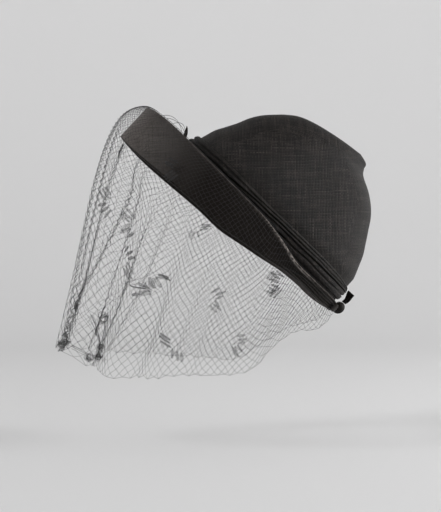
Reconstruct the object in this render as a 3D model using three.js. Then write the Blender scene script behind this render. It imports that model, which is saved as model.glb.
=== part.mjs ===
// A woman's evening hat of black sisal, held as it is worn: the hat leans back on the head.
// A blocked crown has two tucked folds of sisal round its foot. A stiff band covered in ribbon
// stands off the crown in front and lies on it behind, where a bow ties it off. A net veil hangs
// from the band's upper edge round the face to the nape, and carries darned motifs.
//
// Millimetres, +Z up. The wearer faces -Y and +X is the wearer's left. The origin is the centre
// of the head opening. The hat's own frame has the same origin and leans back by LEAN: there
// z is the height above the opening, and an angle round the hat is counted in degrees from the
// front towards the wearer's left.
import * as THREE from "three";

const DEG = Math.PI / 180;

// Crown
const LEAN = 43;
const CROWN_LENGTH = 217;
const CROWN_WIDTH = 168;
const CROWN_HEIGHT = 134.4;
const SISAL_WALL = 1.4;
const CROWN_SQUARENESS = 2.2;
const COLUMNS = 40;
const SEAT_GAP = 0.3;

// Tucked folds at the foot of the crown
const FOLD_FOOT = 12;
const FOLD_LOWER_WIDTH = 10;
const FOLD_LOWER_DEPTH = 4.6;
const FOLD_UPPER_WIDTH = 11;
const FOLD_UPPER_DEPTH = 5;
const FOLD_LIFT = 1.6;
const LIFT_ANGLE = 100;
const LIFT_SPREAD = 28;

// Brim band
const BAND_STAND_OFF = 53.4;
const BAND_UPPER_HEIGHT = 22;
const BAND_WIDTH = 39;
const BAND_THICKNESS = 2.6;
const BAND_ROLL = 2.2;
const ROLL_ANGLE = 118;
const ROLL_SPREAD = 22;

// Bows
const RIBBON_THICKNESS = 1.2;
const BACK_KNOT = { width: 13, depth: 11, height: 13 };
const LOOP_LENGTH = 24;
const LOOP_WIDTH = 9;
const LOOP_DEPTH = 5;
const TAB_LENGTH = 12.5;
const TAB_WIDTH = 8.5;
const TAB_TWIST = 25;
const FRONT_KNOT = { width: 10, depth: 6, height: 8 };
const LEAF_LENGTH = 14;
const LEAF_WIDTH = 7;

// Veil
const VEIL_WALL = 1;
const VEIL_GAP = 0.9;
const VEIL_END_ANGLE = 160;
const VEIL_REACH = 193;
const VEIL_DROP = 139;
const VEIL_HALF_WIDTH = 79;
const VEIL_SPRING = 45;
const FOLD_DEPTH = 9;

// Gaps of the net, cut larger and fewer than its own meshes
const NET_ACROSS = 11;
const NET_DOWN = 7;
const NET_CROWDING = 0.45;
const NET_STRAND = 5.8;
const NET_FACET = 19;
const LEAST_GAP_SHARE = 0.4;

// Darned motifs
const MOTIF_SIZE = 20;
const WING_TILT = 45;
const MOTIF_THICKNESS = 1.2;
const MOTIF_GAP = 0.5;
const MOTIF_PROBES = 24;

// One row for each level of the crown. Height is a share of CROWN_HEIGHT, front and back are
// shares of half of CROWN_LENGTH, and side is a share of half of CROWN_WIDTH.
const crownLevels = [
  { height: 0.0, front: 1.0, back: 0.965, side: 1.0 },
  { height: 0.275, front: 0.945, back: 0.962, side: 0.99 },
  { height: 0.31, front: 0.932, back: 0.949, side: 0.983 },
  { height: 0.39, front: 0.9, back: 0.912, side: 0.958 },
  { height: 0.455, front: 0.853, back: 0.88, side: 0.932 },
  { height: 0.54, front: 0.795, back: 0.816, side: 0.885 },
  { height: 0.625, front: 0.747, back: 0.751, side: 0.83 },
  { height: 0.7, front: 0.686, back: 0.7, side: 0.765 },
  { height: 0.775, front: 0.599, back: 0.627, side: 0.675 },
  { height: 0.835, front: 0.519, back: 0.54, side: 0.578 },
  { height: 0.893, front: 0.41, back: 0.405, side: 0.45 },
  { height: 0.938, front: 0.235, back: 0.352, side: 0.33 },
  { height: 0.975, front: 0.0, back: 0.325, side: 0.18 },
];
const CROWN_TIP_BACK = 0.23;

// Dents of the blocked crown. Angle and spread are degrees round the hat, height and reach are
// shares of CROWN_HEIGHT, and depth is a share of CROWN_HEIGHT, inwards.
const crownDents = [
  { angle: 163, spread: 24, height: 0.85, reach: 0.09, depth: 0.03 },
  { angle: 205, spread: 20, height: 0.76, reach: 0.11, depth: 0.026 },
  { angle: 118, spread: 26, height: 0.9, reach: 0.07, depth: -0.014 },
  { angle: 52, spread: 24, height: 0.78, reach: 0.12, depth: 0.014 },
  { angle: 318, spread: 28, height: 0.72, reach: 0.12, depth: 0.016 },
  { angle: 262, spread: 24, height: 0.84, reach: 0.1, depth: 0.012 },
];

// The folds of sisal: the width of the upper one and the depth of both, as shares of their
// named sizes.
const foldRows = [
  { angle: 0, width: 1.3, depth: 1.2 },
  { angle: 45, width: 1.1, depth: 1.1 },
  { angle: 90, width: 0.78, depth: 1.0 },
  { angle: 135, width: 0.7, depth: 0.8 },
  { angle: 180, width: 0.36, depth: 0.6 },
];

// Sections of the folds: out is a share of the depth and up is a share of the width.
const lowerSection = [
  { out: 0, up: 0 },
  { out: 0.55, up: 0.02 },
  { out: 0.92, up: 0.3 },
  { out: 1, up: 0.7 },
  { out: 0.8, up: 0.98 },
  { out: 0, up: 1 },
];
const upperSection = [
  { out: 0, up: 0 },
  { out: 0.9, up: 0.03 },
  { out: 1, up: 0.3 },
  { out: 0.72, up: 0.8 },
  { out: 0.4, up: 1 },
  { out: 0, up: 0.97 },
];

// The band: how far it stands off the crown as a share of BAND_STAND_OFF, its upper edge as a
// share of BAND_UPPER_HEIGHT, and its width as a share of BAND_WIDTH. Behind, it passes under
// the folds and lies on the crown.
const bandRows = [
  { angle: 0, off: 1.0, upper: 0.99, width: 0.985 },
  { angle: 30, off: 0.884, upper: 1.11, width: 1.11 },
  { angle: 60, off: 0.532, upper: 0.977, width: 0.955 },
  { angle: 75, off: 0.383, upper: 0.92, width: 0.93 },
  { angle: 90, off: 0.278, upper: 0.86, width: 0.79 },
  { angle: 105, off: 0.205, upper: 0.66, width: 0.58 },
  { angle: 120, off: 0.105, upper: 0.42, width: 0.34 },
  { angle: 135, off: 0.035, upper: 0.4, width: 0.3 },
  { angle: 150, off: 0.008, upper: 0.42, width: 0.325 },
  { angle: 180, off: 0.0, upper: 0.42, width: 0.24 },
];

// The veil: one row for each rib, from the back on the wearer's right to the back on the left.
// At runs from -1 to 1 with 0 in front. Side, front and drop place the hem, as shares of
// VEIL_HALF_WIDTH, VEIL_REACH and VEIL_DROP. Spring is a share of VEIL_SPRING. Rise lifts the
// first control point and hang raises the second, both as shares of the rib's fall.
const veilRibs = [
  { at: -1.0, side: -0.43, front: -0.42, drop: 0.55, spring: 0.02, rise: -0.3, hang: 0.3 },
  { at: -0.9, side: -0.62, front: -0.33, drop: 0.64, spring: 0.04, rise: -0.3, hang: 0.3 },
  { at: -0.8, side: -0.79, front: -0.21, drop: 0.68, spring: 0.08, rise: -0.3, hang: 0.32 },
  { at: -0.7, side: -0.93, front: -0.08, drop: 0.8, spring: 0.14, rise: -0.3, hang: 0.35 },
  { at: -0.6, side: -0.99, front: 0.05, drop: 0.92, spring: 0.22, rise: -0.3, hang: 0.38 },
  { at: -0.5, side: -0.97, front: 0.19, drop: 0.93, spring: 0.32, rise: -0.26, hang: 0.42 },
  { at: -0.4, side: -0.88, front: 0.38, drop: 0.9, spring: 0.46, rise: -0.18, hang: 0.46 },
  { at: -0.3, side: -0.73, front: 0.57, drop: 0.88, spring: 0.64, rise: -0.1, hang: 0.5 },
  { at: -0.2, side: -0.53, front: 0.78, drop: 0.86, spring: 0.84, rise: -0.04, hang: 0.55 },
  { at: -0.1, side: -0.28, front: 0.93, drop: 0.83, spring: 0.96, rise: 0.01, hang: 0.59 },
  { at: 0.0, side: 0.0, front: 1.0, drop: 0.81, spring: 1.0, rise: 0.025, hang: 0.61 },
  { at: 0.1, side: 0.28, front: 0.95, drop: 0.84, spring: 0.96, rise: 0.01, hang: 0.59 },
  { at: 0.2, side: 0.53, front: 0.79, drop: 0.94, spring: 0.84, rise: -0.04, hang: 0.55 },
  { at: 0.3, side: 0.72, front: 0.6, drop: 1.0, spring: 0.64, rise: -0.1, hang: 0.5 },
  { at: 0.4, side: 0.87, front: 0.39, drop: 0.97, spring: 0.46, rise: -0.18, hang: 0.46 },
  { at: 0.5, side: 0.97, front: 0.18, drop: 0.96, spring: 0.32, rise: -0.26, hang: 0.42 },
  { at: 0.6, side: 1.0, front: 0.02, drop: 0.93, spring: 0.22, rise: -0.3, hang: 0.38 },
  { at: 0.7, side: 0.94, front: -0.1, drop: 0.77, spring: 0.14, rise: -0.3, hang: 0.35 },
  { at: 0.8, side: 0.8, front: -0.21, drop: 0.67, spring: 0.08, rise: -0.3, hang: 0.32 },
  { at: 0.9, side: 0.62, front: -0.33, drop: 0.65, spring: 0.04, rise: -0.3, hang: 0.3 },
  { at: 1.0, side: 0.43, front: -0.42, drop: 0.55, spring: 0.02, rise: -0.3, hang: 0.3 },
];
const VEIL_PULL = 0.43;

// Folds of the veil. At and spread are along the veil, out is a share of FOLD_DEPTH, outwards,
// and start and full are how far down the rib the fold begins and is complete.
const veilFolds = [
  { at: -0.58, spread: 0.045, out: 0.45, start: 0.35, full: 1.0 },
  { at: -0.45, spread: 0.035, out: -0.5, start: 0.3, full: 1.0 },
  { at: -0.36, spread: 0.025, out: 0.75, start: 0.15, full: 0.8 },
  { at: -0.3, spread: 0.022, out: -0.85, start: 0.15, full: 0.8 },
  { at: -0.235, spread: 0.024, out: 0.95, start: 0.1, full: 0.7 },
  { at: -0.17, spread: 0.024, out: -0.75, start: 0.1, full: 0.7 },
  { at: -0.11, spread: 0.022, out: 0.6, start: 0.1, full: 0.7 },
  { at: -0.055, spread: 0.02, out: -0.45, start: 0.05, full: 0.6 },
  { at: 0.0, spread: 0.022, out: 0.3, start: 0.05, full: 0.6 },
  { at: 0.055, spread: 0.02, out: -0.4, start: 0.05, full: 0.6 },
  { at: 0.12, spread: 0.03, out: 0.45, start: 0.1, full: 0.7 },
  { at: 0.2, spread: 0.024, out: -0.8, start: 0.1, full: 0.7 },
  { at: 0.26, spread: 0.022, out: 1.0, start: 0.1, full: 0.7 },
  { at: 0.315, spread: 0.022, out: -0.8, start: 0.12, full: 0.75 },
  { at: 0.38, spread: 0.03, out: 0.6, start: 0.2, full: 0.9 },
  { at: 0.48, spread: 0.04, out: -0.4, start: 0.3, full: 1.0 },
  { at: 0.6, spread: 0.045, out: 0.4, start: 0.35, full: 1.0 },
];

// Where the hem is bunched. At and spread are along the veil, from is how far down the pull
// starts, and pull is the share of the cloth's width that it takes in.
const veilGathers = [
  { at: -0.185, spread: 0.055, from: 0.76, pull: 0.55 },
  { at: 0.0, spread: 0.07, from: 0.78, pull: 0.55 },
  { at: 0.185, spread: 0.06, from: 0.8, pull: 0.55 },
];

// Darned motifs on the veil: place along the veil, place down the rib, and turn in degrees.
const motifRows = [
  { at: 0.12, down: 0.57, turn: 12 },
  { at: 0.12, down: 0.86, turn: -20 },
  { at: 0.21, down: 0.59, turn: 25 },
  { at: 0.29, down: 0.72, turn: -8 },
  { at: 0.38, down: 0.89, turn: 35 },
  { at: 0.27, down: 0.26, turn: 40 },
  { at: 0.64, down: 0.39, turn: 20 },
  { at: -0.16, down: 0.92, turn: 8 },
  { at: -0.21, down: 0.72, turn: -15 },
  { at: -0.29, down: 0.75, turn: 30 },
  { at: -0.08, down: 0.33, turn: -10 },
  { at: -0.36, down: 0.42, turn: 18 },
  { at: -0.46, down: 0.7, turn: -12 },
  { at: -0.58, down: 0.9, turn: 24 },
  { at: -0.66, down: 0.4, turn: -20 },
];

// One wing of a motif as shares of MOTIF_SIZE: three bars side by side that start from the hub.
// Along runs along the bars and over runs across them.
const motifWing = [
  { along: 0, over: 0 },
  { along: 0.46, over: 0 },
  { along: 0.46, over: 0.12 },
  { along: 0.12, over: 0.145 },
  { along: 0.54, over: 0.17 },
  { along: 0.54, over: 0.29 },
  { along: 0.12, over: 0.315 },
  { along: 0.48, over: 0.34 },
  { along: 0.48, over: 0.46 },
  { along: 0, over: 0.42 },
];

const clamp = (value, low, high) => Math.min(high, Math.max(low, value));
const mix = (a, b, share) => a + (b - a) * share;
const ease = (x) => x * x * (3 - 2 * x);
const bump = (x, centre, spread) => Math.exp(-(((x - centre) / spread) ** 2));
const turned = (angle) => ((angle % 360) + 360) % 360;
const fromFront = (angle) => Math.min(turned(angle), 360 - turned(angle));

// The rows on each side of a key, with their neighbours, and how far the key is between them.
function rowsAround(rows, key, value) {
  const x = clamp(value, rows[0][key], rows.at(-1)[key]);
  let i = 0;
  while (i < rows.length - 2 && x > rows[i + 1][key]) i += 1;
  const [b, c] = [rows[i], rows[i + 1]];
  const s = (x - b[key]) / (c[key] - b[key]);
  return { a: rows[i - 1] ?? b, b, c, d: rows[i + 2] ?? c, s };
}

// The value of a column at a key, on straight lines between the rows.
function straight(rows, key, column, value) {
  const { b, c, s } = rowsAround(rows, key, value);
  return mix(b[column], c[column], s);
}

// The value of a column at a key, on a smooth curve through the rows.
function smooth(rows, key, column, value) {
  const { a, b, c, d, s } = rowsAround(rows, key, value);
  const span = c[key] - b[key];
  const slopeIn = (span * (c[column] - a[column])) / (c[key] - a[key]);
  const slopeOut = (span * (d[column] - b[column])) / (d[key] - b[key]);
  const rise = ease(s);
  return (
    mix(b[column], c[column], rise) +
    slopeIn * s * (1 - s) ** 2 -
    slopeOut * s ** 2 * (1 - s)
  );
}

// A closed mesh from points and faces, turned so that its faces point out.
function solid(points, faces) {
  let volume = 0;
  for (const [a, b, c] of faces) {
    volume += points[a].dot(points[b].clone().cross(points[c]));
  }
  const outward = volume < 0 ? faces.map(([a, b, c]) => [a, c, b]) : faces;
  const geometry = new THREE.BufferGeometry();
  const positions = points.flatMap((p) => [p.x, p.y, p.z]);
  geometry.setAttribute("position", new THREE.Float32BufferAttribute(positions, 3));
  geometry.setIndex(outward.flat());
  geometry.computeVertexNormals();
  return geometry;
}

// Faces between two closed rows of vertices that start at a and b.
function strip(faces, a, b, count) {
  for (let i = 0; i < count; i += 1) {
    const j = (i + 1) % count;
    faces.push([a + i, a + j, b + j], [a + i, b + j, b + i]);
  }
}

// A ring: one closed section for each station, joined all the way round.
function ringSolid(stations) {
  const count = stations[0].length;
  const faces = [];
  stations.forEach((_, i) => {
    strip(faces, i * count, ((i + 1) % stations.length) * count, count);
  });
  return solid(stations.flat(), faces);
}

// A swept piece: one closed section for each station, with flat ends.
function sweptSolid(stations) {
  const count = stations[0].length;
  const last = (stations.length - 1) * count;
  const faces = [];
  for (let row = 0; row < last; row += count) strip(faces, row, row + count, count);
  for (let i = 1; i < count - 1; i += 1) {
    faces.push([0, i + 1, i], [last, last + i, last + i + 1]);
  }
  return solid(stations.flat(), faces);
}

// A thin wall with a closed rim: a surface of triangles that is given a thickness, with part
// of it outside the surface and the rest inside.
function wall(surface, triangles, outside, inside) {
  const normals = surface.map(() => new THREE.Vector3());
  for (const [a, b, c] of triangles) {
    const side = surface[c].clone().sub(surface[a]);
    const normal = surface[b].clone().sub(surface[a]).cross(side);
    for (const corner of [a, b, c]) normals[corner].add(normal);
  }
  for (const normal of normals) normal.normalize();
  const offset = (distance) =>
    surface.map((p, i) => p.clone().addScaledVector(normals[i], distance));
  const back = surface.length;
  const faces = triangles.flatMap(([a, b, c]) => [
    [a, b, c],
    [back + a, back + c, back + b],
  ]);
  const edges = triangles.flatMap(([a, b, c]) => [[a, b], [b, c], [c, a]]);
  const known = new Set(edges.map(([a, b]) => `${a} ${b}`));
  for (const [a, b] of edges) {
    if (!known.has(`${b} ${a}`)) faces.push([b, a, back + a], [b, back + a, back + b]);
  }
  return solid([...offset(outside), ...offset(-inside)], faces);
}

// Distance from the centre of an oval section to its edge, at an angle round the hat.
function ovalRadius(angle, length, width) {
  const c = Math.abs(Math.cos(angle * DEG)) / length;
  const s = Math.abs(Math.sin(angle * DEG)) / width;
  return (c ** CROWN_SQUARENESS + s ** CROWN_SQUARENESS) ** (-1 / CROWN_SQUARENESS);
}

// A point at an angle round the hat, a radius from an axis that stands behind the origin by
// centre, and a height.
const onHat = (angle, radius, height, centre) =>
  new THREE.Vector3(
    radius * Math.sin(angle * DEG),
    centre - radius * Math.cos(angle * DEG),
    height,
  );

// The crown's section at a height: its centre and its radius at an angle round the hat.
function crownSection(angle, height) {
  const share = height / CROWN_HEIGHT;
  const half = CROWN_LENGTH / 2;
  const front = straight(crownLevels, "height", "front", share) * half;
  const back = straight(crownLevels, "height", "back", share) * half;
  const side = (straight(crownLevels, "height", "side", share) * CROWN_WIDTH) / 2;
  let dent = 0;
  for (const d of crownDents) {
    const off = 180 - Math.abs(180 - turned(angle - d.angle));
    dent += d.depth * CROWN_HEIGHT * bump(off, 0, d.spread) * bump(share, d.height, d.reach);
  }
  const radius = ovalRadius(angle, (front + back) / 2, side) - dent;
  return { radius, centre: (back - front) / 2 };
}

// A point on the crown's outside, or beyond it.
function crownPoint(angle, height, beyond = 0) {
  const { radius, centre } = crownSection(angle, height);
  return onHat(angle, radius + beyond, height, centre);
}

// What lies round the foot of the crown shares its centre there.
const footCentre = crownSection(0, FOLD_FOOT).centre;
const roundFoot = (angle, radius, height) => onHat(angle, radius, height, footCentre);

const angles = Array.from({ length: COLUMNS }, (_, i) => (i * 360) / COLUMNS);

function crown() {
  const rows = crownLevels.map(({ height }) =>
    angles.map((angle) => crownPoint(angle, height * CROWN_HEIGHT)),
  );
  const tip = new THREE.Vector3(0, (CROWN_TIP_BACK * CROWN_LENGTH) / 2, CROWN_HEIGHT);
  const surface = [...rows.flat(), tip];
  const triangles = [];
  const top = (rows.length - 1) * COLUMNS;
  for (let row = 0; row < top; row += COLUMNS) strip(triangles, row, row + COLUMNS, COLUMNS);
  for (let i = 0; i < COLUMNS; i += 1) {
    triangles.push([top + i, top + ((i + 1) % COLUMNS), surface.length - 1]);
  }
  return wall(surface, triangles, 0, SISAL_WALL);
}

// How deep a fold of sisal is: a little deeper where the band leaves it at each side.
function foldReach(angle, depth) {
  const a = fromFront(angle);
  const lift = FOLD_LIFT * bump(a, LIFT_ANGLE, LIFT_SPREAD);
  return depth * smooth(foldRows, "angle", "depth", a) + lift;
}

// A fold of sisal round the crown, from its foot up to its width at each angle.
function crownFold(foot, widthAt, depth, section) {
  return ringSolid(
    angles.map((angle) =>
      section.map(({ out, up }) => {
        const beyond = SEAT_GAP + out * foldReach(angle, depth);
        return crownPoint(angle, foot + up * widthAt(angle), beyond);
      }),
    ),
  );
}

const lowerFold = () =>
  crownFold(FOLD_FOOT, () => FOLD_LOWER_WIDTH, FOLD_LOWER_DEPTH, lowerSection);

function upperFold() {
  const foot = FOLD_FOOT + FOLD_LOWER_WIDTH + SEAT_GAP;
  const widthAt = (angle) =>
    FOLD_UPPER_WIDTH * smooth(foldRows, "angle", "width", fromFront(angle));
  return crownFold(foot, widthAt, FOLD_UPPER_DEPTH, upperSection);
}

// The band's radii, edges and rolled rim at an angle round the hat.
function bandAt(angle) {
  const a = fromFront(angle);
  const seat = crownSection(angle, FOLD_FOOT).radius + SEAT_GAP;
  const inner = seat + smooth(bandRows, "angle", "off", a) * BAND_STAND_OFF;
  const upper = smooth(bandRows, "angle", "upper", a) * BAND_UPPER_HEIGHT;
  const lower = upper - smooth(bandRows, "angle", "width", a) * BAND_WIDTH;
  const roll = BAND_ROLL * bump(a, ROLL_ANGLE, ROLL_SPREAD);
  return { inner, outer: inner + BAND_THICKNESS, upper, lower, roll };
}

function brimBand() {
  return ringSolid(
    angles.map((angle) => {
      const { inner, outer, upper, lower, roll } = bandAt(angle);
      const edge = Math.min(roll + 1, (upper - lower) / 3);
      return [
        roundFoot(angle, inner, lower),
        roundFoot(angle, outer, lower),
        roundFoot(angle, outer, upper - 2 * edge),
        roundFoot(angle, outer + roll, upper - edge),
        roundFoot(angle, outer, upper),
        roundFoot(angle, inner, upper),
      ];
    }),
  );
}

// The four corners of a ribbon's section: its middle, the way across it and the way out of it.
function ribbonSection(middle, across, out, width) {
  const corner = (w, t) =>
    middle
      .clone()
      .addScaledVector(across, (w * width) / 2)
      .addScaledVector(out, (t * RIBBON_THICKNESS) / 2);
  return [corner(-1, -1), corner(1, -1), corner(1, 1), corner(-1, 1)];
}

// A rounded knot that wraps a bow.
function knot({ width, depth, height }) {
  const ball = new THREE.SphereGeometry(0.5, 12, 8);
  return ball.rotateX(Math.PI / 2).scale(width, depth, height);
}

// The back knot lies on the band behind, with the loops of the bow beside it.
const bandBack = bandAt(180);
const backKnotPlace = roundFoot(
  180,
  bandBack.outer + SEAT_GAP + BACK_KNOT.depth / 2,
  bandBack.lower + BACK_KNOT.height * 0.58,
).setX(0);

// A closed path round a slot, in the plane of a flat loop: run is how far apart the centres of
// its round ends are.
function slotPath(run, radius) {
  const turns = 4;
  const runs = 4;
  const path = [];
  for (const far of [true, false]) {
    const centre = far ? run : 0;
    const way = far ? 1 : -1;
    for (let i = 0; i <= turns; i += 1) {
      const turn = Math.PI * (i / turns - 0.5);
      path.push({
        along: centre + way * radius * Math.cos(turn),
        out: way * radius * Math.sin(turn),
      });
    }
    for (let i = 1; i < runs; i += 1) {
      path.push({ along: centre - (way * run * i) / runs, out: way * radius });
    }
  }
  return path;
}

// A loop of the back bow: a flat ring of ribbon that lies along the band beside the knot.
function backLoop(side) {
  const run = LOOP_LENGTH - LOOP_DEPTH;
  const outside = slotPath(run, LOOP_DEPTH / 2);
  const inside = slotPath(run, LOOP_DEPTH / 2 - RIBBON_THICKNESS);
  const start = (BACK_KNOT.width + LOOP_DEPTH) / 2 + SEAT_GAP;
  const place = ({ along, out }, up) => {
    const angle = 180 - (side * (start + along)) / bandBack.outer / DEG;
    const { outer, upper, lower, roll } = bandAt(angle);
    const width = LOOP_WIDTH * mix(0.7, 1, clamp(along / run, 0, 1));
    const radius = outer + roll + SEAT_GAP + LOOP_DEPTH / 2 + out;
    return roundFoot(angle, radius, (upper + lower) / 2 + (up * width) / 2);
  };
  return ringSolid(
    outside.map((p, i) => [
      place(p, -1),
      place(p, 1),
      place(inside[i], 1),
      place(inside[i], -1),
    ]),
  );
}

// The square-cut end of ribbon that stands up from the back knot.
function backTab() {
  const across = new THREE.Vector3(Math.sin(TAB_TWIST * DEG), Math.cos(TAB_TWIST * DEG), 0);
  const out = new THREE.Vector3(across.y, -across.x, 0);
  const foot = backKnotPlace.z + BACK_KNOT.height / 2 + SEAT_GAP;
  return sweptSolid(
    [0, 0.25, 0.5, 0.75, 1].map((s) => {
      const middle = backKnotPlace.clone().setZ(foot + s * TAB_LENGTH);
      return ribbonSection(middle, across, out, TAB_WIDTH * mix(0.45, 1, ease(s)));
    }),
  );
}

// A pointed leaf of the front bow, standing up from the knot and leaning forwards.
function frontLeaf(side) {
  const across = new THREE.Vector3(1, side * 0.25, 0).normalize();
  const out = new THREE.Vector3(side * 0.25, -1, 0).normalize();
  return sweptSolid(
    [0, 0.2, 0.4, 0.6, 0.8, 1].map((s) => {
      const middle = new THREE.Vector3(
        side * (FRONT_KNOT.width * 0.22 + s * LEAF_LENGTH * 0.35),
        -s * s * LEAF_LENGTH * 0.42,
        s * LEAF_LENGTH,
      );
      const width = LEAF_WIDTH * Math.sin(Math.PI * mix(0.17, 0.96, s));
      return ribbonSection(middle, across, out, width);
    }),
  );
}

const SIDEWAYS = new THREE.Vector3(1, 0, 0);
const leaned = (p) => p.clone().applyAxisAngle(SIDEWAYS, -LEAN * DEG);
const upright = (p) => p.clone().applyAxisAngle(SIDEWAYS, LEAN * DEG);

// Pushes a point of the veil outwards until it clears the band.
function clearOfBand(point) {
  const p = upright(point).setY(upright(point).y - footCentre);
  const { outer, upper, lower, roll } = bandAt(Math.atan2(p.x, -p.y) / DEG);
  const below = Math.max(0, lower - p.z) ** 2 / BAND_WIDTH;
  const above = Math.max(0, p.z - upper - VEIL_GAP);
  const wanted = outer + roll + VEIL_GAP + VEIL_WALL / 2 - below - above * 2;
  const radius = Math.hypot(p.x, p.y);
  if (radius < wanted) {
    p.x *= wanted / radius;
    p.y *= wanted / radius;
  }
  return leaned(p.setY(p.y + footCentre));
}

// A point of the veil with no folds, from the band's upper edge (down 0) to the hem (down 1).
function veilRib(at, down) {
  const angle = at * VEIL_END_ANGLE;
  const { outer, upper, roll } = bandAt(angle);
  const clear = outer + roll + VEIL_GAP + VEIL_WALL / 2;
  const start = leaned(roundFoot(angle, clear, upper + VEIL_GAP));
  const read = (column) => smooth(veilRibs, "at", column, at);
  const hem = new THREE.Vector3(
    read("side") * VEIL_HALF_WIDTH,
    -read("front") * VEIL_REACH,
    -read("drop") * VEIL_DROP,
  );
  const fall = start.z - hem.z;
  const outwards = leaned(onHat(angle, 1, 0, 0)).setZ(0).normalize();
  const first = start.clone().addScaledVector(outwards, read("spring") * VEIL_SPRING);
  first.z += read("rise") * fall;
  const second = hem.clone().lerp(new THREE.Vector3(start.x, start.y, hem.z), VEIL_PULL);
  second.z += read("hang") * fall;
  return new THREE.CubicBezierCurve3(start, first, second, hem).getPoint(down);
}

// The way out of the unfolded veil.
function veilOut(at, down) {
  const step = 0.004;
  const a = clamp(at, -1 + step, 1 - step);
  const d = clamp(down, step, 1 - step);
  const across = veilRib(a + step, d).sub(veilRib(a - step, d));
  const fall = veilRib(a, d + step).sub(veilRib(a, d - step));
  return fall.cross(across).normalize();
}

// A point of the veil with its folds and bunches.
function veilPoint(at, down) {
  let pulledAt = at;
  for (const g of veilGathers) {
    const reach = ease(clamp((down - g.from) / (1 - g.from), 0, 1));
    pulledAt -= (at - g.at) * g.pull * reach * bump(at, g.at, g.spread);
  }
  let out = 0;
  for (const f of veilFolds) {
    const grown = ease(clamp((down - f.start) / (f.full - f.start), 0, 1));
    out += f.out * FOLD_DEPTH * grown * bump(at, f.at, f.spread);
  }
  const point = veilRib(pulledAt, down).addScaledVector(veilOut(pulledAt, down), out);
  return clearOfBand(point);
}

// The veil's upper border, turned over the band's upper edge to its inner face.
function veilBorder(at) {
  const angle = at * VEIL_END_ANGLE;
  const { inner, upper } = bandAt(angle);
  return leaned(roundFoot(angle, inner, upper + VEIL_GAP + VEIL_WALL / 2));
}

// A crossing of the net's strands, as a place along the veil and a place down the rib. The
// crossings are closer together in front.
function crossing(column, row) {
  const u = column / NET_ACROSS - 1;
  const at = u * (1 - NET_CROWDING * (1 - u * u));
  return new THREE.Vector2(at, row / (2 * NET_DOWN));
}

// The veil: a net of strands round diamond gaps. A mesh stays closed where it is too small for
// a gap, along the veil's border and sides, and behind a motif.
function veil() {
  const surface = [];
  const triangles = [];
  const known = new Map();
  const vertex = (place, border = false) => {
    const key = `${place.x.toFixed(6)} ${place.y.toFixed(6)} ${border}`;
    if (!known.has(key)) {
      known.set(key, surface.length);
      surface.push(border ? veilBorder(place.x) : veilPoint(place.x, place.y));
    }
    return known.get(key);
  };
  const quad = (a, b, c, d) => triangles.push([a, b, c], [a, c, d]);
  const facets = (from, to) => {
    const length = veilPoint(from.x, from.y).distanceTo(veilPoint(to.x, to.y));
    const steps = Math.max(1, Math.round(length / NET_FACET));
    return Array.from({ length: steps }, (_, i) => [
      from.clone().lerp(to, i / steps),
      from.clone().lerp(to, (i + 1) / steps),
    ]);
  };

  const mesh = (corners, mayOpen) => {
    const centre = corners.reduce((sum, p) => sum.add(p), new THREE.Vector2());
    centre.divideScalar(corners.length);
    const middle = veilPoint(centre.x, centre.y);
    const sides = corners.map((from, i) => [from, corners[(i + 1) % corners.length]]);
    const room = sides.map(([from, to]) => {
      const side = new THREE.Line3(veilPoint(from.x, from.y), veilPoint(to.x, to.y));
      return side.closestPointToPoint(middle, true, new THREE.Vector3()).distanceTo(middle);
    });
    const share = 1 - NET_STRAND / 2 / Math.min(...room);
    const wide = Math.max(...corners.map((p) => Math.abs(p.x - centre.x)));
    const tall = Math.max(...corners.map((p) => Math.abs(p.y - centre.y)));
    const backed = motifRows.some(
      ({ at, down }) => Math.abs(at - centre.x) / wide + Math.abs(down - centre.y) / tall < 1,
    );
    const open = mayOpen && share > LEAST_GAP_SHARE && !backed;
    const inwards = (p) => centre.clone().lerp(p, open ? share : 0.5);
    for (const [a, b] of sides.flatMap(([from, to]) => facets(from, to))) {
      if (open || !mayOpen) quad(vertex(a), vertex(b), vertex(inwards(b)), vertex(inwards(a)));
      if (!mayOpen) triangles.push([vertex(inwards(a)), vertex(inwards(b)), vertex(centre)]);
      else if (!open) triangles.push([vertex(a), vertex(b), vertex(centre)]);
    }
  };

  const lastColumn = 2 * NET_ACROSS;
  const lastRow = 2 * NET_DOWN;
  for (let row = 0; row <= lastRow; row += 1) {
    for (let column = (row + 1) % 2; column <= lastColumn; column += 2) {
      const corners = [
        [column - 1, row],
        [column, row + 1],
        [column + 1, row],
        [column, row - 1],
      ];
      const inside = corners.filter(
        ([c, r]) => c >= 0 && c <= lastColumn && r >= 0 && r <= lastRow,
      );
      const mayOpen = row > 0 && column > 0 && column < lastColumn;
      mesh(inside.map(([c, r]) => crossing(c, r)), mayOpen);
    }
  }
  for (let column = 0; column < lastColumn; column += 2) {
    for (const [a, b] of facets(crossing(column, 0), crossing(column + 2, 0))) {
      quad(vertex(a), vertex(b), vertex(b, true), vertex(a, true));
    }
  }
  return wall(surface, triangles, VEIL_WALL / 2, VEIL_WALL / 2);
}

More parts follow.
